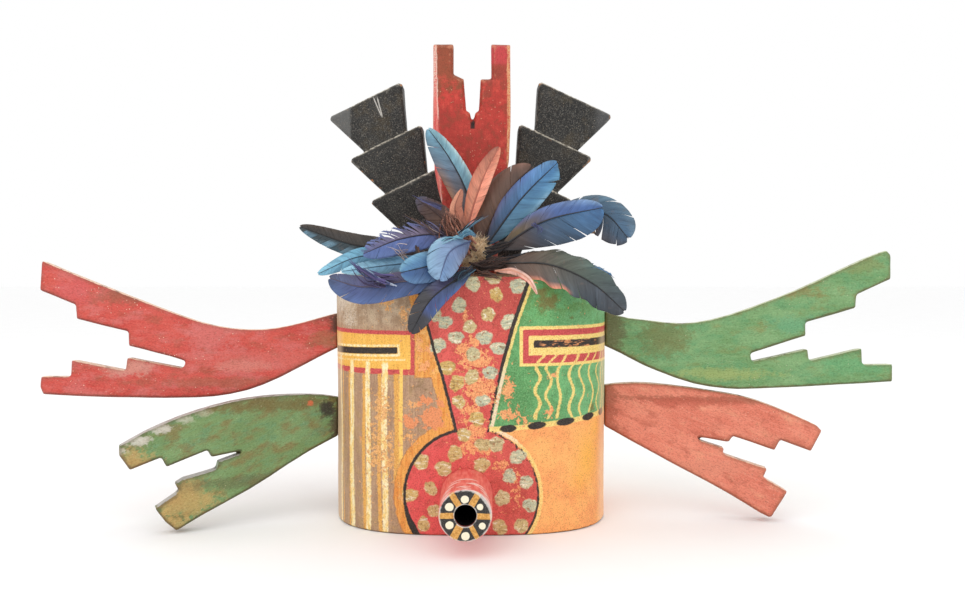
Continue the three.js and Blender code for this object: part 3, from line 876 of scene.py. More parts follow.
def build_snout():
    """The snout as one closed tube, from the drum's wall over the end and back into the bore."""
    low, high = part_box("snout")
    middle = np.array(((low.x + high.x) / 2, 0, (low.z + high.z) / 2))
    radius = (high.x - low.x) / 2 / MM
    front = low.y / MM
    start = front + SNOUT_EDGE
    angle = np.linspace(0, 2 * math.pi, SNOUT_COLUMNS, endpoint=False)
    rings = snout_rings(radius)
    points = []
    layers = {name: [] for name in ("face", "bars", "dots", "strokes", "rim", "bore")}
    for size, depth, kind in rings:
        x = size * np.cos(angle)
        z = size * np.sin(angle)
        across = np.abs((x * MM + middle[0] - CENTRE.x) / MM / CASE_HALF_WIDTH)
        drum = CENTRE.y / MM - CASE_HALF_DEPTH * (1 - across ** CASE_POWER) ** (1 / CASE_POWER)
        y = np.full(angle.shape, start + depth) if kind == "end" else start + (drum - 0.3 - start) * depth
        points.append(np.stack([x, y, z], axis=1) * MM + middle)
        paint = dict.fromkeys(layers, np.full(angle.shape, FAR))
        if kind == "end":
            paint.update(end_paint(x, z, angle, size, radius * SNOUT_TAPER))
        else:
            paint["strokes"] = stroke_distance(np.degrees(angle), y - front)
        paint["bore"] = np.full(angle.shape, 1.0 if kind == "bore" else 0.0)
        for name, values in paint.items():
            layers[name].append(values)
    points = np.concatenate(points)
    outward = points - middle
    outward[:, 1] = 0
    outward /= np.linalg.norm(outward, axis=1)[:, None]
    points += outward * rough(points, 12, 0.3, 11)[:, None]
    layers = {name: np.concatenate(values) for name, values in layers.items()}
    faces = closed_tube(len(rings), SNOUT_COLUMNS)
    piece = make_object("painted_snout", points, faces, layers, snout_finish())
    return finish_piece(piece, "snout_paint", "snout")


# Carved planks and boards

BLURS = 16
SHARP_BLURS = 5


def carve(node, slot_name, material, along, voxel=1.1, seed=1, waviness=0.35):
    """A CAD solid remeshed finely, its edges worn round and its faces left uneven as by a knife."""
    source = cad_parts[node]
    mesh = source.data.copy()
    mesh.transform(source.matrix_world)
    piece = bpy.data.objects.new("carved_" + node, mesh)
    bpy.context.collection.objects.link(piece)
    remesh = piece.modifiers.new("remesh", "REMESH")
    remesh.mode = "VOXEL"
    remesh.voxel_size = voxel * MM
    soften = piece.modifiers.new("soften", "SMOOTH")
    soften.factor = 0.5
    soften.iterations = 2
    bpy.context.view_layer.update()
    made = bpy.data.meshes.new_from_object(piece.evaluated_get(bpy.context.evaluated_depsgraph_get()))
    piece.modifiers.clear()
    piece.data = made
    made.name = piece.name

    # How far each point stands out of its surroundings: nearby for "edge", further off for "rim"
    count = len(made.vertices)
    points = np.empty(count * 3)
    made.vertices.foreach_get("co", points)
    points = points.reshape(-1, 3)
    normals = np.empty(count * 3)
    made.vertex_normals.foreach_get("vector", normals)
    normals = normals.reshape(-1, 3)
    edges = np.empty(len(made.edges) * 2, np.int64)
    made.edges.foreach_get("vertices", edges)
    first, second = edges.reshape(-1, 2).T
    degree = np.bincount(np.concatenate([first, second]), minlength=count)[:, None]
    calm = points.copy()
    stands_out = []
    for _ in range(BLURS):
        total = np.stack([
            np.bincount(first, calm[second, axis], count) + np.bincount(second, calm[first, axis], count)
            for axis in range(3)
        ], axis=1)
        calm = total / np.maximum(degree, 1)
        stands_out.append(np.einsum("ij,ij->i", points - calm, normals) / MM)

    forward = np.array(along, float)
    forward /= np.linalg.norm(forward)
    through = np.cross(forward, (0, 0, 1.0))
    through /= np.linalg.norm(through)
    upward = np.cross(through, forward)
    grain = (points - np.array(CENTRE)) @ np.stack([forward, upward, through], axis=1) / MM
    stretched = points @ np.stack([forward * 0.35, upward, through], axis=1)
    shift = rough(points, 34, waviness, seed) + rough(stretched, 7, waviness * 0.4, seed + 1)
    made.vertices.foreach_set("co", (points + normals * shift[:, None]).ravel())
    add_attribute(made, "edge", stands_out[SHARP_BLURS - 1])
    add_attribute(made, "rim", stands_out[-1])
    add_attribute(made, "grain", grain)
    add_attribute(made, "upward", normals[:, 2])
    made.materials.clear()
    made.materials.append(material)
    made.polygons.foreach_set("use_smooth", [True] * len(made.polygons))
    made.update()
    return finish_piece(piece, slot_name, node)


def painted_wood(name, tones, stains, edge_colour, tread, patches, edge_share, gloss, specks):
    """Brushed paint on a carved board: broad and fine tone, stains, patches, worn edges, painted shade at its
    rims, undersides and creases, and treads that are partly worn paint and partly painted light from above.
    """
    f = Finish(name, specular=0.4)
    grain = f.attribute("grain", "Vector")
    edge = f.attribute("edge")
    upward = f.attribute("upward")
    broad = f.noise(24, stretch=(1.8, 1, 1), along=grain)
    streak = f.noise(1.5, detail=6.0, stretch=(9, 1, 1), along=grain)
    grit = f.noise(0.8, detail=5.0, stretch=(1.8, 1, 1), along=grain, offset=50.0)
    mixed = f.noise(1.9, detail=7.0, stretch=(1.6, 1, 1), along=grain, offset=33.0)
    colour = f.between(broad, 0.38, 0.62, tones[0], tones[1])
    colour = f.washes(colour, (streak, 0.45, 0.7, 0.5, tones[2]))
    for number, (stain, level, share) in enumerate(stains):
        mottle = f.noise(8.0, detail=8.0, stretch=(2.0, 1, 1), along=grain, offset=5.0 + 9 * number)
        colour = f.washes(colour, (mottle, level - 0.05, level + 0.15, share, stain))
    for number, (x, z, across, up, patch, share) in enumerate(patches):
        away = f.vector("MULTIPLY", f.vector("SUBTRACT", f.place, (x, 0, z)), (1 / across, 0, 1 / up))
        torn = f.noise(7.0, detail=7.0, along=grain, offset=3.0 * number)
        inside = f.rise(f.shaken(f.vector("LENGTH", away), torn, 1.6), 1.5, 0.2)
        mottled = f.rise(f.shaken(inside, mixed, 2.4), 0.3, 0.7)
        colour = f.mix(f.times(mottled, inside, share), colour, patch)
    shadow = f.rise(f.shaken(f.attribute("rim"), broad, 1.2), 0.15, 1.1)
    # Painted shade on faces that turn downwards
    underside_shade = f.rise(f.shaken(upward, broad, 0.3), -0.06, -0.3)
    colour = f.tinted(f.times(shadow, 0.3), colour, (184, 160, 138))
    colour = f.tinted(f.times(underside_shade, 0.6), colour, (150, 120, 96))
    colour = f.tinted(f.times(f.rise(grit, 0.5, 0.36), 0.42), colour, (176, 160, 150))
    colour = f.tinted(f.times(f.rise(grit, 0.54, 0.68), 0.45), colour, (92, 84, 74), "ADD")
    dots = f.spots(2.6, 0.09, 0.16)
    there = f.rise(f.noise(14, offset=17.0), 0.5, 0.62)
    colour = f.mix(f.times(dots, there, specks), colour, (250, 226, 200))
    nicks = f.rise(f.noise(1.5, detail=7.0, stretch=(1.6, 1, 1), along=grain, offset=41.0), 0.66, 0.72)
    colour = f.mix(f.times(nicks, 0.6), colour, (84, 50, 34))
    wear = f.shaken(edge, f.noise(3.5, detail=6.0), 0.8)
    colour = f.washes(colour, (wear, 0.16, 0.4, edge_share, edge_colour))
    # Faces that turn upwards take the tread tones: partly worn paint, partly painted light from above
    worn_and_lit_top = f.shaken(upward, f.noise(2.2, detail=5.0), 0.2)
    tread_grain = f.noise(2.4, detail=5.0, along=grain, stretch=(3, 1, 1))
    colour = f.between(worn_and_lit_top, 0.72, 0.86, colour, f.between(tread_grain, 0.5, 0.68, *tread))
    # Painted shade in creases and hollows, where the surface stands in
    colour = f.washes(colour, (edge, -0.1, -0.3, 0.75, (48, 32, 24)))
    raised = f.add(f.times(streak, 0.5), f.times(grit, 0.6))
    raised = f.minus(raised, f.times(f.add(nicks, dots), 0.4))
    roughness = f.add(f.times(f.noise(6, offset=8.0), 0.3), gloss - 0.15)
    return f.done(colour, roughness, raised, 0.4, 0.85)


def terrace_finish():
    """Black paint with dust, specks and scratches, pale edges that are partly wear and partly painted
    highlight, and upper ledges painted pale as painted light from above.
    """
    f = Finish("black_paint", specular=0.35)
    grain = f.attribute("grain", "Vector")
    sideways = f.part(f.place, 0)
    height = f.part(f.place, 2)
    fine = f.noise(1.1, detail=7.0)
    streak = f.noise(1.2, detail=6.0, stretch=(4, 1, 1), along=grain)
    grit = f.noise(0.75, offset=70.0)
    scratches = f.noise(0.9, stretch=(14, 1, 1), along=grain, offset=12.0)
    colour = f.between(f.noise(22), 0.35, 0.65, (27, 27, 26), (45, 44, 42))
    dust = f.rise(f.noise(18, detail=5.0, offset=40.0), 0.5, 0.66)
    colour = f.mix(f.times(dust, f.rise(height, 250, 300), 0.6), colour, (78, 66, 44))
    colour = f.washes(
        colour,
        (streak, 0.54, 0.72, 0.6, (86, 84, 79)),
        (fine, 0.56, 0.66, 0.7, (124, 119, 110)),
        (grit, 0.53, 0.64, 0.7, (106, 103, 97)),
        (grit, 0.46, 0.36, 0.6, (22, 21, 20)),
        # Painted shade towards the rims
        (f.attribute("rim"), 0.15, 0.75, 0.55, (24, 22, 20)),
    )
    specks = f.times(f.spots(2.2, 0.09, 0.17), f.rise(f.noise(12, offset=9.0), 0.44, 0.6))
    colour = f.mix(f.times(specks, 0.7), colour, (176, 160, 136))
    edge = f.shaken(f.attribute("edge"), f.noise(5, detail=6.0), 1.5)
    wood = f.shaken(f.attribute("edge"), f.noise(9, detail=5.0, offset=21.0), 2.4)
    pale = f.between(f.noise(3, detail=5.0), 0.42, 0.6, (214, 206, 190), (110, 102, 92))
    colour = f.washes(
        colour,
        (scratches, 0.68, 0.73, 0.6, (170, 166, 156)),
        # Pale edges are partly wear and partly painted highlight; faces that turn upwards are painted pale as
        # painted light from above
        (edge, 0.3, 0.6, 0.45, (150, 145, 136)),
        (wood, 0.55, 0.72, 0.85, (178, 122, 78)),
        (f.attribute("upward"), 0.5, 0.75, 0.9, pale),
        (f.shaken(sideways, fine, 6.0), -96, -98, 0.6, (112, 112, 110)),
        (f.shaken(sideways, fine, 9.0), 96, 104, 0.5, (92, 93, 94)),
    )
    # Two long pale scratches on the left terrace's top tier
    for start, slope in ((-78.4, -0.42), (-75.6, -0.26)):
        path = f.add(f.times(f.minus(height, 328.0), slope), start)
        beside = f.size_of(f.minus(f.minus(sideways, path), f.times(fine, 1.2)))
        scratched = f.times(f.rise(beside, 0.75, 0.2), f.rise(height, 313, 317), f.rise(height, 331, 327))
        colour = f.mix(f.times(scratched, 0.8), colour, (206, 202, 194))
    raised = f.add(f.times(streak, 0.6), f.times(fine, 0.6))
    return f.done(colour, f.add(f.times(fine, 0.3), 0.4), raised, 0.5, 0.9)


def tablet_finish():
    """Worn red paint between a pink left edge and a creamy right one, with painted shade in its creases and
    in the notch.
    """
    f = Finish("tablet_red_paint", specular=0.35)
    grain = f.attribute("grain", "Vector")
    sideways = f.part(f.place, 0)
    height = f.part(f.place, 2)
    streak = f.noise(1.6, detail=6.0, stretch=(9, 1, 1), along=grain)
    fine = f.noise(1.0, detail=6.0)
    mottle = f.noise(6, detail=8.0, offset=3.0)
    grit = f.noise(0.8, detail=5.0, offset=50.0)
    colour = f.washes(
        f.between(f.noise(22), 0.35, 0.65, (172, 52, 42), (196, 60, 50)),
        (streak, 0.5, 0.7, 0.4, (150, 44, 34)),
        (mottle, 0.48, 0.64, 0.55, (134, 62, 40)),
        (mottle, 0.46, 0.34, 0.5, (210, 84, 66)),
    )
    brown = f.shaken(f.rise(height, 306, 350), mottle, 1.8)
    brown_tone = f.between(sideways, -8, 8, (132, 76, 46), (150, 62, 46))
    colour = f.washes(colour, (brown, 0.4, 0.9, 0.75, brown_tone))
    patch = f.times(f.rise(height, 350, 354), f.rise(sideways, 10, 12), f.rise(fine, 0.3, 0.5), 0.7)
    colour = f.mix(patch, colour, (206, 66, 74))

    # The left edge is a bare pink bevel that widens downwards; the right one is thin and creamy
    widening = f.times(f.minus(368.0, height), 0.033)
    wobble = f.times(f.minus(f.noise(7), 0.5), 1.8)
    left = f.add(f.add(sideways, f.minus(27.4, widening)), wobble)
    pink = f.between(streak, 0.35, 0.65, (222, 88, 88), (240, 150, 136))
    pink = f.mix(f.times(f.rise(height, 320, 345), f.rise(fine, 0.4, 0.6)), pink, (244, 214, 196))
    colour = f.washes(colour, (left, 0.4, -0.4, 0.85, pink))
    line = f.minus(f.size_of(f.add(left, f.times(wobble, 0.5))), 0.55)
    line_share = f.times(f.rise(line, 0.35, -0.35), f.rise(streak, 0.4, 0.6), 0.55)
    colour = f.mix(line_share, colour, (250, 220, 206))
    right = f.add(f.minus(sideways, 28.2), wobble)
    cream = f.between(fine, 0.4, 0.65, (240, 196, 140), (222, 100, 70))
    colour = f.mix(f.times(f.rise(right, -0.5, 0.5), f.rise(streak, 0.3, 0.5), 0.85), colour, cream)

    colour = f.tinted(f.times(f.rise(grit, 0.5, 0.34), 0.5), colour, (170, 158, 150))
    colour = f.washes(
        colour,
        (f.shaken(f.attribute("edge"), f.noise(3.5, detail=6.0), 0.9), 0.2, 0.5, 0.5, (206, 140, 108)),
        (f.attribute("upward"), 0.6, 0.8, 0.7, (150, 92, 66)),
        # Painted shade in creases and hollows, where the surface stands in
        (f.attribute("edge"), -0.1, -0.35, 0.8, (44, 26, 20)),
    )
    # Painted shade, near black, in the depth of the notch
    beside_slit = f.size_of(f.minus(sideways, 1.2))
    notch_shade = f.times(f.rise(beside_slit, 2.2, 1.2), f.rise(height, 301.4, 302.6), f.rise(height, 309, 306))
    colour = f.mix(f.times(notch_shade, 0.92), colour, (22, 16, 14))
    dots = f.times(f.spots(2.6, 0.09, 0.16), f.rise(f.noise(8, offset=11.0), 0.48, 0.6))
    colour = f.mix(f.times(dots, 0.6), colour, (240, 196, 160))
    raised = f.add(f.times(streak, 0.5), f.times(grit, 0.6))
    return f.done(colour, f.add(f.times(fine, 0.25), 0.42), raised, 0.4, 0.85)


# Each plank: node, slot, direction of the grain, seed and look. A patch is its place across and up, half
# width, half height, tone and strength.
PLANKS = [
    ("upper_left_wing", "red_paint", (-1, -0.1, 0.05), 21, dict(
        tones=((196, 66, 56), (204, 80, 68), (210, 98, 86)),
        stains=[((152, 82, 58), 0.54, 0.6), ((206, 112, 106), 0.5, 0.6)],
        edge_colour=(150, 92, 70), edge_share=0.2,
        tread=((232, 196, 170), (110, 80, 68)),
        patches=[
            (-200, 142, 22, 20, (208, 122, 116), 0.5), (-160, 122, 60, 10, (204, 106, 96), 0.55),
            (-176, 118, 26, 6, (210, 140, 124), 0.4), (-262, 118, 24, 9, (204, 148, 132), 0.7),
            (-250, 172, 56, 8, (150, 84, 60), 0.75), (-300, 176, 18, 14, (206, 92, 92), 0.6),
            (-196, 106, 60, 5, (160, 92, 68), 0.6), (-118, 158, 16, 8, (150, 56, 44), 0.6),
            (-104, 156, 8, 26, (78, 56, 42), 0.95), (-112, 138, 16, 8, (150, 110, 74), 0.6),
            (-150, 156, 40, 4, (176, 60, 50), 0.7),
        ],
        gloss=0.5, specks=0.9,
    )),
    ("upper_right_wing", "green_paint", (1, -0.1, 0.05), 22, dict(
        tones=((104, 146, 90), (122, 162, 108), (138, 176, 122)),
        stains=[((134, 128, 68), 0.57, 0.6), ((90, 148, 98), 0.5, 0.6)],
        edge_colour=(120, 104, 62), edge_share=0.3,
        tread=((196, 204, 166), (92, 80, 54)),
        patches=[
            (110, 150, 12, 34, (96, 88, 52), 0.8), (150, 140, 22, 18, (110, 112, 60), 0.7),
            (232, 176, 44, 8, (140, 118, 64), 0.6), (196, 112, 46, 6, (160, 170, 98), 0.6),
            (296, 196, 22, 8, (126, 134, 76), 0.6), (290, 120, 30, 8, (98, 164, 110), 0.6),
            (250, 150, 26, 8, (96, 160, 118), 0.6),
        ],
        gloss=0.45, specks=0.35,
    )),
    ("lower_left_wing", "worn_green_paint", (-0.86, -0.36, -0.36), 23, dict(
        tones=((110, 138, 82), (122, 152, 98), (104, 148, 102)),
        stains=[((128, 110, 60), 0.5, 0.75), ((84, 142, 108), 0.56, 0.45)],
        edge_colour=(84, 76, 46), edge_share=0.4,
        tread=((186, 180, 172), (110, 100, 86)),
        patches=[
            (-250, 52, 30, 15, (202, 160, 96), 0.66), (-208, 24, 26, 16, (202, 160, 96), 0.66),
            (-220, 6, 16, 12, (206, 164, 98), 0.66), (-254, 62.5, 10, 4, (206, 200, 188), 0.8),
            (-239, 69.5, 10, 4, (214, 208, 196), 0.8), (-224, 77, 10, 4, (206, 200, 188), 0.8),
            (-210, 83, 10, 3.5, (190, 188, 168), 0.75), (-198, 87, 9, 3, (180, 176, 150), 0.7),
            (-150, 90, 60, 7, (112, 98, 48), 0.8), (-112, 84, 8, 8, (48, 40, 30), 0.95),
            (-104, 62, 7, 26, (76, 58, 44), 0.9), (-124, 89, 2.4, 2.6, (206, 104, 60), 0.9),
            (-160, 34, 70, 6, (96, 96, 58), 0.6),
        ],
        gloss=0.42, specks=0.3,
    )),
    ("lower_right_wing", "salmon_paint", (0.92, -0.15, -0.36), 24, dict(
        tones=((214, 116, 92), (226, 134, 108), (232, 148, 124)),
        stains=[((178, 84, 62), 0.55, 0.6), ((230, 164, 128), 0.58, 0.5)],
        edge_colour=(168, 98, 68), edge_share=0.35,
        tread=((240, 200, 168), (128, 78, 56)),
        patches=[
            (108, 84, 9, 34, (164, 84, 58), 0.7), (190, 92, 90, 3.5, (150, 84, 58), 0.7),
            (280, 62, 22, 3, (246, 190, 164), 0.8), (230, 62, 34, 8, (206, 116, 92), 0.5),
            (262, 12, 16, 14, (212, 120, 92), 0.6), (170, 90, 50, 5, (184, 84, 62), 0.7),
            (180, 40, 44, 8, (216, 134, 108), 0.6),
        ],
        gloss=0.38, specks=0.4,
    )),
]
TABLET_SEED = 25
# Node, direction of the grain and seed of each terrace
TERRACES = [("left_terrace", (-0.44, 0, 0.9), 26), ("right_terrace", (0.42, 0, 0.9), 27)]


def build_boards():
    for node, slot_name, along, seed, look in PLANKS:
        carve(node, slot_name, painted_wood(slot_name, **look), along, seed=seed)
    carve("tablet", "tablet_red_paint", tablet_finish(), (0, 0.02, 1), seed=TABLET_SEED, waviness=0.3)
    black = terrace_finish()
    for node, along, seed in TERRACES:
        carve(node, "black_paint", black, along, voxel=1.0, seed=seed, waviness=0.3)


# Feathers

FORWARD = (0, -1, 0.25)
TILTED = (0, -0.9, 0.45)
UPWARD = (0, -0.75, 0.65)
BARB_STEPS = 8
BARB_SPACING = 0.55
VANE_THICKNESS = 0.16
SEED_STEP = 37
NEAT = dict(ragged=0.03, clump=(14, 40), gap=0.04, tousle=0.0)


def smooth_path(path):
    """Evenly spaced points on a smooth curve through a path, with the length of it up to each."""
    ends = [np.array(point, float) for point in path]
    ends = [2 * ends[0] - ends[1]] + ends + [2 * ends[-1] - ends[-2]]
    samples = []
    for a, b, c, d in zip(ends, ends[1:], ends[2:], ends[3:]):
        k1, k2, k3 = np.cumsum([np.linalg.norm(q - p) ** 0.5 for p, q in ((a, b), (b, c), (c, d))])
        for t in np.linspace(k1, k2, 40, endpoint=False):
            ab = a + (b - a) * t / k1
            bc = b + (c - b) * (t - k1) / (k2 - k1)
            cd = c + (d - c) * (t - k2) / (k3 - k2)
            abc = ab + (bc - ab) * t / k2
            bcd = bc + (cd - bc) * (t - k1) / (k3 - k1)
            samples.append(abc + (bcd - abc) * (t - k1) / (k2 - k1))
    samples = np.array(samples + [ends[-2]])
    steps = np.linalg.norm(np.diff(samples, axis=0), axis=1)
    return samples, np.concatenate([[0], np.cumsum(steps)])


def vane_width(t, broadest, tip):
    """Half-width along a feather, as a share of its greatest half-width."""
    rising = np.sin(np.pi / 2 * np.clip(t / broadest, 0, 1)) ** 0.9
    rest = np.clip((t - broadest) / (1 - broadest), 0, 1)
    return np.where(t < broadest, rising, np.sqrt(np.maximum(0, 1 - rest ** tip)))


def ramp(stops, t):
    """Colours along a feather, from stops of a share of its length and three 8-bit values."""
    places = [stop[0] for stop in stops]
    colours = np.array([srgb(*stop[1:]) for stop in stops])
    return np.stack([np.interp(t, places, colours[:, k]) for k in range(4)], axis=-1)


class Strokes:
    """Points, faces and attributes that are gathered from many small surfaces into one mesh."""

    def __init__(self):
        self.points = []
        self.faces = []
        self.layers = {"tint": [], "barb": [], "out": []}
        self.count = 0

    def add(self, points, faces, tint, barb, out):
        """One surface: barb numbers its lines, and out runs from 0 at the shaft to 1 at the vane's edge."""
        self.points.append(points)
        self.faces.append(np.asarray(faces) + self.count)
        self.layers["tint"].append(np.broadcast_to(tint, (len(points), 4)))
        self.layers["barb"].append(np.broadcast_to(barb, (len(points),)))
        self.layers["out"].append(np.broadcast_to(out, (len(points),)))
        self.count += len(points)

    def tube(self, centres, radii, tint, barb, sides=4):
        """A thin tapering rod through the centres, in millimetres."""
        ahead = np.gradient(centres, axis=0)
        ahead /= np.maximum(np.linalg.norm(ahead, axis=1), 1e-9)[:, None]
        aside = np.cross(ahead, (0.3, 0.9, 0.31))
        aside /= np.maximum(np.linalg.norm(aside, axis=1), 1e-9)[:, None]
        over = np.cross(ahead, aside)
        angles = np.arange(sides) * 2 * np.pi / sides
        ring = aside[:, None] * np.cos(angles)[None, :, None] + over[:, None] * np.sin(angles)[None, :, None]
        points = (centres[:, None] + ring * np.asarray(radii)[:, None, None]).reshape(-1, 3)
        self.add(points, grid_faces(len(centres), sides, closed=True), tint, barb, -1.0)

    def piece(self, name, material, thickness=0.0):
        points = np.concatenate(self.points) * MM + np.array(CENTRE)
        layers = {key: np.concatenate(values) for key, values in self.layers.items()}
        made = make_object(name, points, np.concatenate(self.faces).tolist(), layers, material)
        if thickness:
            solid = made.modifiers.new("thickness", "SOLIDIFY")
            solid.thickness = thickness * MM
            solid.offset = 0
        return made


def feather_finish(name, gloss, fleck, contrast=1.0):
    """Barbs in fine lines over the mesh's tint, a little darker between clumps, with painted shade and
    painted highlight from darker and lighter copies of the tint, and a soft sheen.
    """
    f = Finish(name, specular=0.45)
    tint = f.mix(0.1, f.attribute("tint", "Color"), (66, 66, 70))
    tint = f.mix(1.0, tint, (1.1, 0.99, 0.9, 1), "MULTIPLY")
    across = f.node("CombineXYZ")
    f.feed(across.inputs[0], f.attribute("barb"))
    f.feed(across.inputs[1], f.times(f.attribute("out"), 2.0))
    lines = f.noise(1.3, detail=2.0, along=across.outputs[0])
    clumps = f.noise(9.0, detail=3.0, stretch=(1, 0.4, 1), along=across.outputs[0], offset=7.0)
    # Shaded and lit copies of the tint: painted shade and painted highlight on the barbs and clumps
    dark = f.mix(1.0, tint, (0.42, 0.42, 0.46, 1), "MULTIPLY")
    light = f.mix(1.0, f.mix(1.0, tint, (1.5, 1.5, 1.5, 1), "MULTIPLY"), (0.02, 0.024, 0.03, 1), "ADD")
    colour = f.washes(
        tint,
        (lines, 0.5, 0.28, 0.5 * contrast, dark),
        (lines, 0.56, 0.76, 0.4 * contrast, light),
        (clumps, 0.5, 0.34, 0.5 * contrast, dark),
        (clumps, 0.54, 0.72, 0.45 * contrast, light),
        (f.noise(6.0, offset=3.0), 0.58, 0.7, fleck, (118, 96, 84)),
    )
    f.feed(f.shader.inputs["Sheen Weight"], 0.12)
    f.feed(f.shader.inputs["Sheen Roughness"], 0.4)
    return f.done(colour, gloss, lines, 0.2, 0.6)


def vane_tint(t, out, tones, outer, rim, streak, streak_share):
    """Colours of a clump of barbs: along the feather, towards its outer edge, on its rim and in a streak."""
    tint = ramp(tones, t)
    if outer:
        outward = np.clip((out - 0.45) / 0.5, 0, 1)[None, :, None]
        tint = tint * (1 - outward) + ramp(outer, t) * outward
    # A thin edge colour: a painted highlight on the blue feathers, the vane's own salmon edge on dark_arched
    if rim:
        colour, start, end = rim
        along = np.clip(np.minimum(t - start, end - t) / 0.06, 0, 1)
        edging = (along * np.clip((out - 0.84) / 0.08, 0, 1))[..., None]
        tint = tint * (1 - edging) + np.array(srgb(*colour)) * edging
    if streak_share:
        strength = streak_share * np.clip((out - 0.2) / 0.3, 0, 1)[None, :, None]
        tint = tint * (1 - strength) + np.array(srgb(*streak)) * strength
    return tint


def build_feather(name, slot_name, material, seed, path, width, left, right, shaft, facing=FORWARD,
                  outer_left=None, outer_right=None, broadest=0.5, split=0.5, tip=2.6, wave=0.0,
                  loose=0, notches=None, streak=None, rim=None, **untidy):
    """A shaft along the path with a vane on each side, made of clumps of barbs.

    Side 1 is the left vane and side -1 the right one, looking at the front with the tip upwards. Loose is
    the only untidy side, where there is one. Notches (side, start, end), streak (side, share of clumps,
    colour) and rim (side, colour, start, end) belong to one side.
    """
    samples, length = smooth_path(path)
    total = length[-1]
    share = length / total
    ahead = np.gradient(samples, share, axis=0)
    ahead /= np.linalg.norm(ahead, axis=1)[:, None]
    front = np.array(facing, float)
    face = front - ahead * (ahead @ front)[:, None]
    face /= np.linalg.norm(face, axis=1)[:, None]
    aside = np.cross(face, ahead)

    def at(table, t):
        """The table's value for each share t of the path's length."""
        return np.stack([np.interp(t, share, table[:, k]) for k in range(3)], axis=-1)

    rng = random.Random(seed)
    strokes = Strokes()
    places = np.linspace(0.06, 0.998, int(total / BARB_SPACING))
    out = np.linspace(0, 1, BARB_STEPS + 1)
    for side, tones, outer in ((1, left, outer_left), (-1, right, outer_right)):
        half = width * (split if side > 0 else 1 - split)
        order = dict(NEAT)
        if not loose or side == loose:
            order.update(untidy)
        ragged = order["ragged"]
        gap = order["gap"]
        tousle = order["tousle"]
        first = 0
        while first < len(places) - 1:
            last = min(first + rng.randint(*order["clump"]), len(places) - 1)
            rows = places[first:last + 1]
            middle = rows.mean()
            reach = 1 + rng.uniform(-ragged, ragged * 0.5)
            slide = (rng.uniform(-1, 1) * gap * 1.5 + rng.gauss(0, 1) * tousle) / total
            lift = rng.uniform(-0.35, 0.35) + rng.gauss(0, 0.4) * tousle
            notched = notches and side == notches[0] and notches[1] < middle < notches[2]
            squeeze = 0.45 if notched else gap
            edge = rows[:, None] + (middle - rows[:, None]) * squeeze * out ** 3 + slide * out ** 2
            broad = np.maximum(half * vane_width(rows, broadest, tip), 0.35)[:, None]
            broad = broad * (1 + wave * np.sin(rows * 34 + side))[:, None]
            jitter = np.array([rng.uniform(1 - ragged * 0.35, 1) for _ in rows])[:, None]
            root = np.maximum(rows[:, None] - 0.95 * broad / total, 0.01)
            t = np.clip(root + (edge - root) * out ** 1.2, 0, 1)
            aslant = side * broad * reach * jitter * out
            droop = -0.16 * broad * out ** 2 + lift * out ** 2 + 0.25
            points = at(samples, t) + at(aside, t) * aslant[..., None] + at(face, t) * droop[..., None]
            streaked = streak and side == streak[0] and rng.random() < streak[1]
            streak_share = rng.uniform(0.3, 0.9) if streaked else 0
            side_rim = rim[1:] if rim and side == rim[0] else None
            tint = vane_tint(t, out, tones, outer, side_rim, streak and streak[2], streak_share)
            tint = tint * rng.uniform(0.92, 1.08)
            faces = grid_faces(len(rows), BARB_STEPS + 1)[:, ::side]
            barb = (np.arange(first, last + 1)[:, None] + 0 * out + seed * SEED_STEP).ravel()
            strokes.add(points.reshape(-1, 3), faces, tint.reshape(-1, 4), barb, np.tile(out, len(rows)))
            first = last
    t = np.linspace(0, 0.985, 40)
    quill = at(samples, t) + at(face, t) * 0.3
    strokes.tube(quill, 0.62 * (1 - t) + 0.14, srgb(*shaft), float(seed * SEED_STEP), sides=6)
    piece = strokes.piece("vane_" + name, material, thickness=VANE_THICKNESS)
    return finish_piece(piece, slot_name, "feather_" + name)


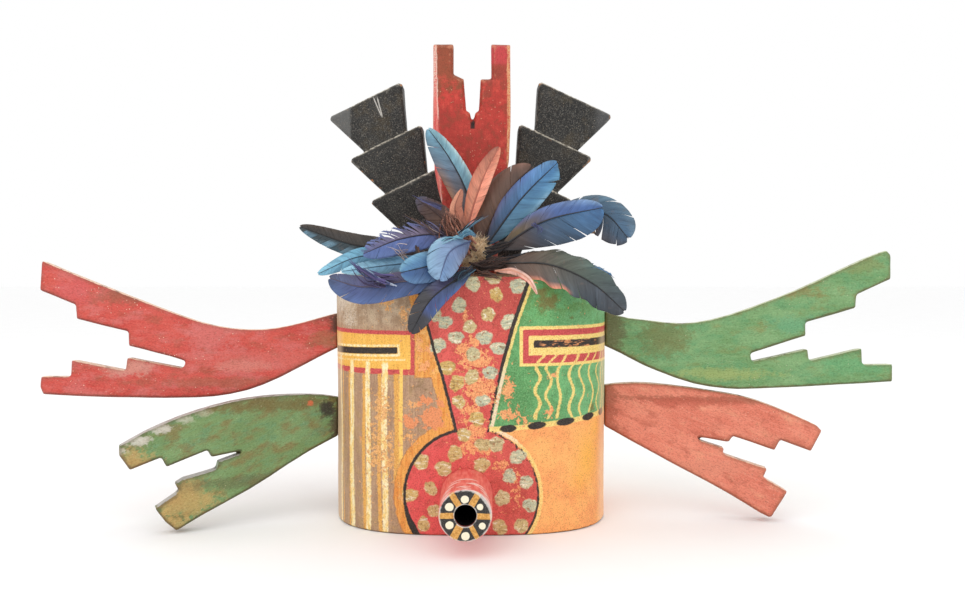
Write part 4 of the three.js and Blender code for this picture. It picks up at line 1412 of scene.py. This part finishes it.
# Stops of tone are (share of the length, red, green, blue), in the middle of a vane and at its edge
FEATHERS = [
    dict(name="sky_upright", slot_name="blue_feather", width=22, split=0.6, tip=2.0,
         path=[(2, -41, 217), (-3, -35, 250), (-16.5, -35, 277), (-32.5, -35, 299)],
         # The rim here is a painted highlight along the right vane's edge
         shaft=(26, 30, 40), rim=(-1, (176, 208, 220), 0.25, 0.9),
         left=[(0, 66, 58, 66), (0.4, 92, 92, 104), (0.6, 86, 110, 136), (1, 104, 158, 188)],
         outer_left=[(0, 124, 90, 70), (0.45, 150, 114, 90), (0.6, 128, 108, 100), (0.75, 84, 106, 128),
             (1, 90, 134, 160)],
         right=[(0, 70, 84, 104), (0.3, 100, 148, 176), (1, 116, 168, 190)],
         outer_right=[(0, 110, 140, 160), (0.3, 150, 194, 212), (0.8, 148, 190, 206), (1, 120, 168, 190)]),
    dict(name="salmon", slot_name="salmon_feather", width=15, broadest=0.58, tip=1.7, split=0.56,
         path=[(-4.5, -46, 216), (3.5, -46, 244), (11, -46, 264), (21.5, -45, 284)], shaft=(206, 124, 102),
         left=[(0, 186, 118, 98), (0.3, 214, 146, 122), (0.7, 196, 128, 106), (1, 140, 84, 66)],
         outer_left=[(0, 190, 110, 90), (0.3, 214, 134, 106), (0.7, 188, 112, 90), (1, 120, 70, 56)],
         right=[(0, 226, 140, 116), (0.35, 242, 160, 136), (0.7, 230, 150, 128), (1, 190, 112, 90)],
         outer_right=[(0, 224, 130, 108), (0.35, 240, 156, 132), (0.7, 238, 170, 148), (1, 214, 140, 112)]),
    dict(name="brown_broad", slot_name="brown_feather", width=29, broadest=0.36, split=0.62,
         path=[(6.5, -42, 205), (13, -42, 221), (28, -42, 249.5), (46.5, -43, 270)], shaft=(44, 30, 28),
         left=[(0, 58, 38, 32), (0.4, 104, 76, 60), (0.8, 92, 70, 60), (1, 96, 70, 60)],
         outer_left=[(0, 96, 62, 50), (0.25, 132, 92, 74), (0.5, 96, 66, 54), (1, 116, 84, 70)],
         right=[(0, 40, 30, 30), (1, 66, 50, 46)]),
    dict(name="blue_broad", slot_name="blue_feather", width=25, clump=(16, 40), gap=0.05, split=0.46,
         notches=(-1, 0.8, 0.97),
         path=[(11, -50, 209), (38, -55, 245), (64.5, -55, 271.5)],
         # The rim here is a painted highlight along the right vane's edge
         shaft=(16, 22, 36), rim=(-1, (128, 176, 210), 0.2, 0.78),
         left=[(0, 24, 30, 44), (0.3, 44, 76, 116), (0.6, 62, 112, 166), (1, 70, 128, 186)],
         outer_left=[(0, 36, 32, 44), (0.3, 72, 70, 106), (0.7, 66, 104, 170), (1, 92, 150, 200)],
         right=[(0, 34, 56, 80), (0.25, 70, 116, 148), (0.6, 66, 120, 164), (1, 60, 122, 180)],
         outer_right=[(0, 40, 70, 96), (0.25, 92, 142, 170), (0.6, 88, 140, 176), (1, 92, 156, 202)]),
    dict(name="violet_blue", slot_name="blue_feather", width=33, facing=TILTED, gap=0.06, split=0.38,
         broadest=0.6,
         path=[(19.5, -58, 206.5), (52.5, -66, 227), (96.5, -68, 237.5)], shaft=(18, 18, 24),
         left=[(0, 36, 28, 28), (0.25, 92, 78, 48), (0.42, 76, 74, 92), (0.6, 58, 90, 152),
             (1, 50, 96, 160)],
         outer_left=[(0, 40, 34, 40), (0.2, 112, 92, 70), (0.3, 84, 96, 142), (0.6, 84, 116, 178),
             (1, 116, 158, 206)],
         right=[(0, 28, 24, 26), (0.25, 60, 48, 48), (0.4, 44, 62, 88), (0.65, 46, 86, 124),
             (1, 54, 104, 158)],
         outer_right=[(0, 22, 20, 22), (0.3, 30, 34, 44), (0.6, 40, 62, 84), (0.85, 46, 84, 122),
             (1, 58, 112, 168)]),
    dict(name="slate_curled", slot_name="dark_feather", width=31, broadest=0.8, clump=(14, 34), gap=0.12,
         split=0.46, notches=(-1, 0.72, 0.84),
         path=[(18, -47, 211), (66, -52, 229), (97, -56, 234), (116.5, -62, 214)], shaft=(26, 26, 30),
         left=[(0, 40, 36, 36), (0.5, 52, 62, 76), (0.72, 56, 90, 120), (1, 62, 102, 140)],
         outer_left=[(0, 50, 46, 46), (0.5, 64, 74, 88), (0.72, 76, 112, 138), (1, 92, 126, 154)],
         right=[(0, 34, 30, 30), (0.4, 42, 40, 42), (0.72, 48, 70, 90), (1, 52, 84, 116)],
         outer_right=[(0, 44, 36, 32), (0.4, 96, 78, 62), (0.62, 190, 160, 126), (0.8, 82, 80, 88),
             (1, 50, 64, 84)]),
    dict(name="dark_arched", slot_name="dark_feather", width=30, facing=TILTED, wave=0.07,
         path=[(22, -62, 197), (57, -77, 196), (86.5, -84, 183), (110, -84, 162.5)],
         shaft=(30, 32, 34), rim=(-1, (216, 146, 122), 0.1, 0.62),
         left=[(0, 58, 42, 36), (0.2, 84, 66, 54), (0.4, 78, 82, 72), (0.65, 66, 84, 80), (0.9, 52, 66, 78),
             (1, 40, 44, 50)],
         outer_left=[(0, 66, 50, 42), (0.2, 110, 90, 74), (0.4, 88, 98, 88), (0.65, 70, 96, 92),
             (1, 48, 62, 78)],
         right=[(0, 70, 50, 42), (0.25, 92, 74, 62), (0.5, 72, 76, 74), (0.75, 58, 70, 84), (1, 40, 46, 54)],
         outer_right=[(0, 120, 82, 68), (0.25, 110, 80, 70), (0.5, 70, 82, 88), (0.75, 46, 62, 76),
             (1, 40, 46, 54)]),
    dict(name="pink_curl", slot_name="salmon_feather", width=6, facing=UPWARD, broadest=0.35, tip=1.4,
         path=[(18, -78, 191.5), (30, -88, 192), (41, -92, 186), (47, -94, 175.5)], shaft=(206, 150, 130),
         left=[(0, 196, 150, 138), (1, 236, 206, 196)],
         right=[(0, 200, 152, 138), (1, 226, 178, 164)]),
    dict(name="black_left", slot_name="dark_feather", width=20, clump=(3, 10), gap=0.0, ragged=0.012,
         tip=1.7,
         path=[(-11, -42, 206), (-53, -36, 206), (-91, -36, 211.5), (-130, -36, 225)],
         shaft=(16, 16, 18), streak=(1, 0.45, (104, 148, 176)),
         left=[(0, 44, 48, 52), (0.4, 40, 54, 62), (0.75, 38, 58, 68), (1, 40, 50, 54)],
         outer_left=[(0, 50, 56, 62), (0.4, 46, 70, 86), (0.75, 50, 84, 102), (1, 60, 76, 84)],
         right=[(0, 52, 46, 44), (0.5, 48, 44, 40), (1, 40, 38, 36)],
         outer_right=[(0, 60, 52, 48), (0.5, 60, 54, 48), (1, 70, 60, 50)]),
    dict(name="violet_shaggy", slot_name="blue_feather", width=23, loose=-1, ragged=0.24, clump=(1, 5),
         gap=0.4, tousle=2.6, tip=2.0,
         path=[(-7, -54, 212), (-24.5, -58, 218), (-51.5, -62, 214.5), (-79, -62, 203.5)], shaft=(44, 38, 60),
         left=[(0, 60, 64, 98), (0.4, 80, 102, 166), (1, 88, 118, 186)],
         outer_left=[(0, 74, 88, 130), (0.4, 98, 126, 194), (1, 100, 132, 196)],
         right=[(0, 82, 72, 82), (0.4, 108, 100, 130), (1, 88, 98, 150)],
         outer_right=[(0, 80, 82, 114), (0.4, 92, 108, 170), (1, 98, 120, 184)]),
    dict(name="sky_outer", slot_name="blue_feather", width=15, tip=2.0,
         path=[(-11, -47, 201), (-52, -47, 202), (-82.5, -48, 202), (-114, -50, 189)], shaft=(50, 80, 104),
         left=[(0, 70, 66, 72), (0.35, 76, 92, 116), (0.55, 92, 156, 200), (1, 122, 190, 226)],
         outer_left=[(0, 60, 56, 60), (0.35, 70, 80, 100), (0.55, 84, 140, 186), (1, 124, 190, 226)],
         right=[(0, 66, 56, 56), (0.4, 88, 76, 80), (0.6, 96, 166, 206), (1, 132, 198, 230)]),
    dict(name="sky_inner", slot_name="blue_feather", width=13, tip=2.0,
         path=[(-9.5, -54, 198), (-46, -60, 197), (-95, -60, 191)], shaft=(60, 100, 132),
         left=[(0, 70, 90, 120), (0.4, 88, 144, 192), (1, 136, 196, 230)],
         outer_left=[(0, 110, 84, 80), (0.4, 120, 96, 90), (0.6, 110, 160, 190), (1, 150, 200, 220)],
         right=[(0, 70, 90, 110), (0.4, 100, 160, 206), (1, 144, 202, 232)]),
    dict(name="violet_belly", slot_name="blue_feather", width=20, broadest=0.7, split=0.6,
         path=[(-8, -62, 197), (-28.5, -88, 187), (-50, -88, 184), (-76, -86, 180.5), (-100.5, -81, 187)],
         shaft=(96, 86, 104),
         left=[(0, 36, 50, 84), (0.4, 60, 86, 138), (0.8, 66, 84, 140), (1, 58, 78, 120)],
         outer_left=[(0, 40, 62, 100), (0.4, 58, 92, 148), (0.8, 84, 112, 172), (1, 62, 88, 132)],
         right=[(0, 56, 52, 70), (0.4, 74, 66, 100), (0.75, 80, 84, 136), (1, 66, 88, 126)],
         outer_right=[(0, 96, 72, 66), (0.3, 110, 84, 86), (0.5, 84, 74, 116), (1, 60, 72, 116)]),
    dict(name="mid_blue", slot_name="blue_feather", width=23, broadest=0.62,
         path=[(-7, -62, 203), (-26, -89, 196), (-48.5, -95, 190.5)], shaft=(20, 28, 44),
         left=[(0, 44, 44, 52), (0.4, 48, 74, 118), (1, 56, 100, 160)],
         outer_left=[(0, 60, 60, 66), (0.4, 70, 96, 140), (1, 84, 132, 184)],
         right=[(0, 80, 100, 130), (0.5, 66, 112, 164), (1, 80, 136, 186)],
         outer_right=[(0, 100, 130, 160), (0.5, 92, 148, 190), (1, 110, 168, 204)]),
    dict(name="periwinkle", slot_name="blue_feather", width=25, split=0.44, clump=(10, 26), gap=0.12,
         broadest=0.6, tip=2.2,
         path=[(0, -68, 213), (-14.5, -94, 204), (-21, -101, 185)], shaft=(70, 90, 136),
         left=[(0, 90, 108, 146), (0.5, 104, 130, 178), (1, 104, 146, 196)],
         outer_left=[(0, 100, 110, 136), (0.5, 116, 130, 164), (1, 116, 156, 204)],
         right=[(0, 110, 144, 184), (0.5, 112, 144, 190), (1, 128, 168, 208)],
         outer_right=[(0, 140, 190, 214), (0.5, 134, 182, 214), (1, 116, 158, 200)]),
    dict(name="dark_drooping", slot_name="blue_feather", width=18, broadest=0.66, tip=1.9, clump=(8, 24),
         gap=0.1,
         path=[(2, -72, 192), (-10.5, -92, 185), (-27, -94, 172), (-41.5, -92, 148)], shaft=(14, 14, 20),
         left=[(0, 34, 56, 80), (0.4, 54, 74, 120), (0.72, 60, 82, 140), (0.8, 50, 54, 66), (1, 40, 42, 48)],
         outer_left=[(0, 36, 76, 110), (0.4, 60, 96, 160), (0.72, 66, 100, 166), (0.8, 60, 64, 76),
             (1, 48, 50, 56)],
         right=[(0, 34, 36, 46), (0.3, 56, 56, 90), (0.5, 60, 64, 108), (0.62, 54, 56, 64), (1, 44, 46, 52)],
         outer_right=[(0, 60, 46, 42), (0.3, 74, 58, 66), (0.5, 66, 80, 126), (0.62, 56, 60, 70),
             (1, 44, 46, 52)]),
    dict(name="brown_small", slot_name="brown_feather", width=20, broadest=0.45, clump=(5, 14), gap=0.14,
         ragged=0.1, tip=1.6,
         path=[(-8, -47, 213), (-22, -43, 231), (-41, -40, 246)], shaft=(60, 40, 38),
         left=[(0, 92, 62, 52), (0.5, 90, 64, 52), (0.8, 76, 56, 54), (1, 70, 70, 96)],
         right=[(0, 96, 62, 50), (0.4, 92, 64, 54), (0.8, 72, 54, 58), (1, 66, 72, 100)]),
    dict(name="tan_small", slot_name="brown_feather", width=10, clump=(20, 40), gap=0.05, tip=1.2, split=0.4,
         path=[(-2, -53, 218), (-11.5, -54, 236), (-6.5, -54, 252)], shaft=(160, 104, 86),
         left=[(0, 130, 80, 62), (0.5, 200, 140, 116), (1, 200, 144, 120)],
         right=[(0, 120, 74, 58), (0.4, 178, 112, 90), (1, 170, 116, 96)]),
    dict(name="blue_hidden", slot_name="blue_feather", width=12, facing=UPWARD, clump=(3, 7), gap=0.4,
         ragged=0.16,
         path=[(15, -53, 200), (62, -60, 202), (103.5, -64, 188)], shaft=(24, 26, 34),
         left=[(0, 30, 30, 36), (0.7, 40, 60, 84), (1, 90, 144, 190)],
         right=[(0, 30, 30, 38), (0.7, 40, 60, 84), (1, 70, 120, 170)]),
]
# Slot, roughness and fleck of each kind of feather
FEATHER_FINISHES = [
    ("blue_feather", 0.42, 0.05), ("dark_feather", 0.4, 0.25),
    ("salmon_feather", 0.5, 0.1), ("brown_feather", 0.5, 0.2),
]
FIRST_SEED = 3


def build_feathers():
    finishes = {name: feather_finish(name, gloss, fleck) for name, gloss, fleck in FEATHER_FINISHES}
    for seed, look in enumerate(FEATHERS, FIRST_SEED):
        build_feather(material=finishes[look["slot_name"]], seed=seed, **look)


# Down and loose barbs

TUFT_CENTRE = np.array((3.6, -50.5, 203.6))
TUFT_RADII = np.array((12.0, 10.0, 14.0))
DOWN_STRANDS = 1500
CORE_TONE = (236, 216, 180)
DOWN_TONES = [(244, 228, 194), (222, 200, 162), (255, 248, 228), (176, 150, 118), (232, 212, 174)]
# Path, strands, scatter at the start and at the end, radius and tones
LOOSE_BARBS = [
    ([(-58, -92, 184), (-71, -95, 189), (-87, -92, 202)], 14, 5.5, 4, 1.1,
     [(66, 58, 100), (82, 78, 136), (60, 70, 120)]),
    ([(-52, -91, 184), (-64, -93, 187), (-80, -91, 197)], 6, 3, 4, 0.7,
     [(60, 52, 90), (74, 72, 120), (170, 190, 220)]),
    ([(-62, -91, 184), (-70, -93, 185), (-76, -91, 190)], 6, 4, 4, 0.5, [(60, 52, 90), (74, 72, 120)]),
    ([(-3, -57, 208), (-11, -57, 222), (-17, -57, 236)], 90, 7.5, 7, 1.1,
     [(96, 62, 50), (120, 78, 64), (70, 44, 38), (150, 100, 82)]),
    ([(-6, -58, 214), (-15, -59, 226), (-10, -59, 238)], 12, 6, 7, 0.5,
     [(200, 148, 128), (176, 120, 102), (214, 176, 160)]),
    ([(-14, -56, 212), (-22, -55, 220), (-29, -54, 225)], 24, 4, 5, 0.9,
     [(60, 42, 42), (76, 54, 56), (50, 42, 56)]),
    ([(-18, -58, 214), (-30, -60, 222), (-40, -60, 234)], 7, 3, 4, 0.45,
     [(188, 176, 178), (96, 80, 92), (70, 70, 110)]),
    ([(-22, -50, 238), (-34, -48, 243), (-44, -47, 250)], 7, 2, 2.4, 0.5,
     [(72, 80, 130), (90, 96, 150), (60, 58, 92)]),
    ([(7, -62, 194), (18, -72, 198), (34, -68, 206)], 12, 3, 6, 0.3, [(110, 84, 70), (70, 50, 44)]),
    ([(4, -60, 194), (16, -66, 196), (30, -68, 200)], 60, 4, 4.5, 0.8,
     [(36, 27, 27), (56, 40, 36), (80, 56, 46)]),
    ([(10, -56, 203), (22, -60, 209), (34, -62, 214)], 26, 3, 4, 0.8,
     [(30, 24, 26), (48, 36, 34), (26, 30, 40)]),
    ([(6, -68, 189), (14, -80, 188), (26, -88, 185)], 24, 3, 4, 0.6,
     [(92, 64, 52), (60, 42, 38), (120, 84, 68)]),
    ([(-7.6, -64, 218), (2.5, -67, 227), (14.2, -65, 235.5)], 8, 2, 1.6, 0.5,
     [(20, 30, 52), (70, 120, 160), (24, 26, 40), (120, 176, 204)]),
    ([(-9, -72, 213.5), (-1, -78, 219.5), (6, -77, 215)], 40, 1.5, 2.4, 0.45,
     [(108, 168, 200), (136, 190, 214), (84, 140, 180)]),
    ([(-8, -74, 215), (-18, -84, 213), (-26, -92, 205)], 14, 2.5, 3, 0.7,
     [(104, 164, 196), (132, 186, 212), (40, 60, 92)]),
    ([(-28, -60, 219), (-41, -60, 229), (-56, -60, 235)], 6, 2, 3, 0.3, [(76, 80, 108), (108, 84, 76)]),
    ([(86, -67, 193), (98, -67, 189.5), (106, -67, 185)], 12, 1.5, 2.6, 0.35,
     [(56, 96, 150), (84, 134, 184)]),
    ([(57, -56, 257.5), (63, -56, 258.5), (69, -56, 259.5)], 4, 0.6, 1.2, 0.28, [(84, 134, 170)]),
    ([(1, -72, 192), (-7, -90, 189), (-14, -97, 181)], 30, 3, 4, 0.5,
     [(34, 66, 96), (50, 62, 92), (30, 32, 42), (64, 108, 136)]),
    ([(-40, -60, 211), (-37, -66, 203), (-35, -74, 192)], 14, 1.4, 1.8, 0.8,
     [(104, 74, 60), (80, 58, 50), (60, 46, 42)]),
    ([(-46, -64, 203), (-52, -68, 206), (-58, -70, 210)], 10, 4, 5, 0.3, [(214, 206, 204), (150, 140, 150)]),
    ([(44, -72, 226), (50, -74, 221), (46, -74, 215)], 4, 1.5, 2, 0.4, [(70, 80, 140), (50, 56, 100)]),
]


def curl(start, towards, length, rng, bend, steps):
    """A wandering curved line from a point, in millimetres."""
    direction = np.array(towards, float)
    direction /= np.linalg.norm(direction)
    turn = np.array([rng.gauss(0, 1) for _ in range(3)]) * bend / steps
    points = [np.array(start, float)]
    for _ in range(steps):
        direction = direction + turn + np.array([rng.gauss(0, 0.06) for _ in range(3)])
        direction /= np.linalg.norm(direction)
        points.append(points[-1] + direction * length / steps)
    return np.array(points)


def lumpy_ball(rows, columns):
    """Points of a ball of radius 1 with a lumpy surface, row by row from the top."""
    upright = np.linspace(0.04, math.pi - 0.04, rows)[:, None]
    turn = np.linspace(0, 2 * math.pi, columns, endpoint=False)[None, :]
    sideways = np.sin(upright)
    ball = np.stack([sideways * np.cos(turn), sideways * np.sin(turn), np.cos(upright) + 0 * turn], axis=-1)
    ball = ball.reshape(-1, 3)
    lumps = 0.82 + np.array([noise.noise(Vector(point) * 2.4) for point in ball]) * 0.22
    return ball, lumps[:, None]


def build_down():
    """The beige ball of down, and the loose barbs and curls that stray from the feathers' roots."""
    material = feather_finish("down", 0.75, 0.1, contrast=0.35)
    rng = random.Random(71)
    strokes = Strokes()
    rows, columns = 18, 28
    ball, lumps = lumpy_ball(rows, columns)
    faces = grid_faces(rows, columns, closed=True)[:, ::-1]
    strokes.add(TUFT_CENTRE + ball * TUFT_RADII * lumps, faces, srgb(*CORE_TONE), 3.0, 0.5)
    for number in range(DOWN_STRANDS):
        outward = np.array([rng.gauss(0, 1) for _ in range(3)])
        outward[1] -= 0.6
        outward /= np.linalg.norm(outward)
        start = TUFT_CENTRE + outward * TUFT_RADII * 0.7
        line = curl(start, outward, rng.uniform(4, 9), rng, bend=2.2, steps=7)
        tone = srgb(*rng.choice(DOWN_TONES))
        strokes.tube(line, np.linspace(0.22, 0.05, len(line)), tone, number * 0.7, sides=3)
    finish_piece(strokes.piece("down_tuft_filaments", material), "down", "down_tuft")

    strokes = Strokes()
    for path, count, begin, end, radius, tones in LOOSE_BARBS:
        scatters = np.linspace(begin, end, len(path))
        for number in range(count):
            bent = [
                np.array(point) + [rng.gauss(0, 0.55) * scatter for _ in range(3)]
                for point, scatter in zip(path, scatters)
            ]
            line = smooth_path(bent)[0][::8]
            line = line[:max(4, int(len(line) * rng.uniform(0.6, 1)))]
            width = radius * (1 - 0.9 * np.linspace(0, 1, len(line)) ** 2.2) * rng.uniform(0.6, 1.1)
            strokes.tube(line, width, srgb(*rng.choice(tones)), number * 1.3)
    finish_piece(strokes.piece("loose_barbs", material), "down")


def add_floor():
    corners = [(-FLOOR_HALF, -FLOOR_HALF, 0), (FLOOR_HALF, -FLOOR_HALF, 0)]
    corners += [(FLOOR_HALF, FLOOR_HALF, 0), (-FLOOR_HALF, FLOOR_HALF, 0)]
    f = Finish("floor")
    colour = f.mix(f.noise(60, detail=3.0), (250, 250, 250), (255, 255, 255))
    floor = make_object("floor", corners, [(0, 1, 2, 3)], material=f.done(colour, 0.9))


add_camera()
add_studio()
add_floor()
build_drum()
build_snout()
build_boards()
build_feathers()
build_down()
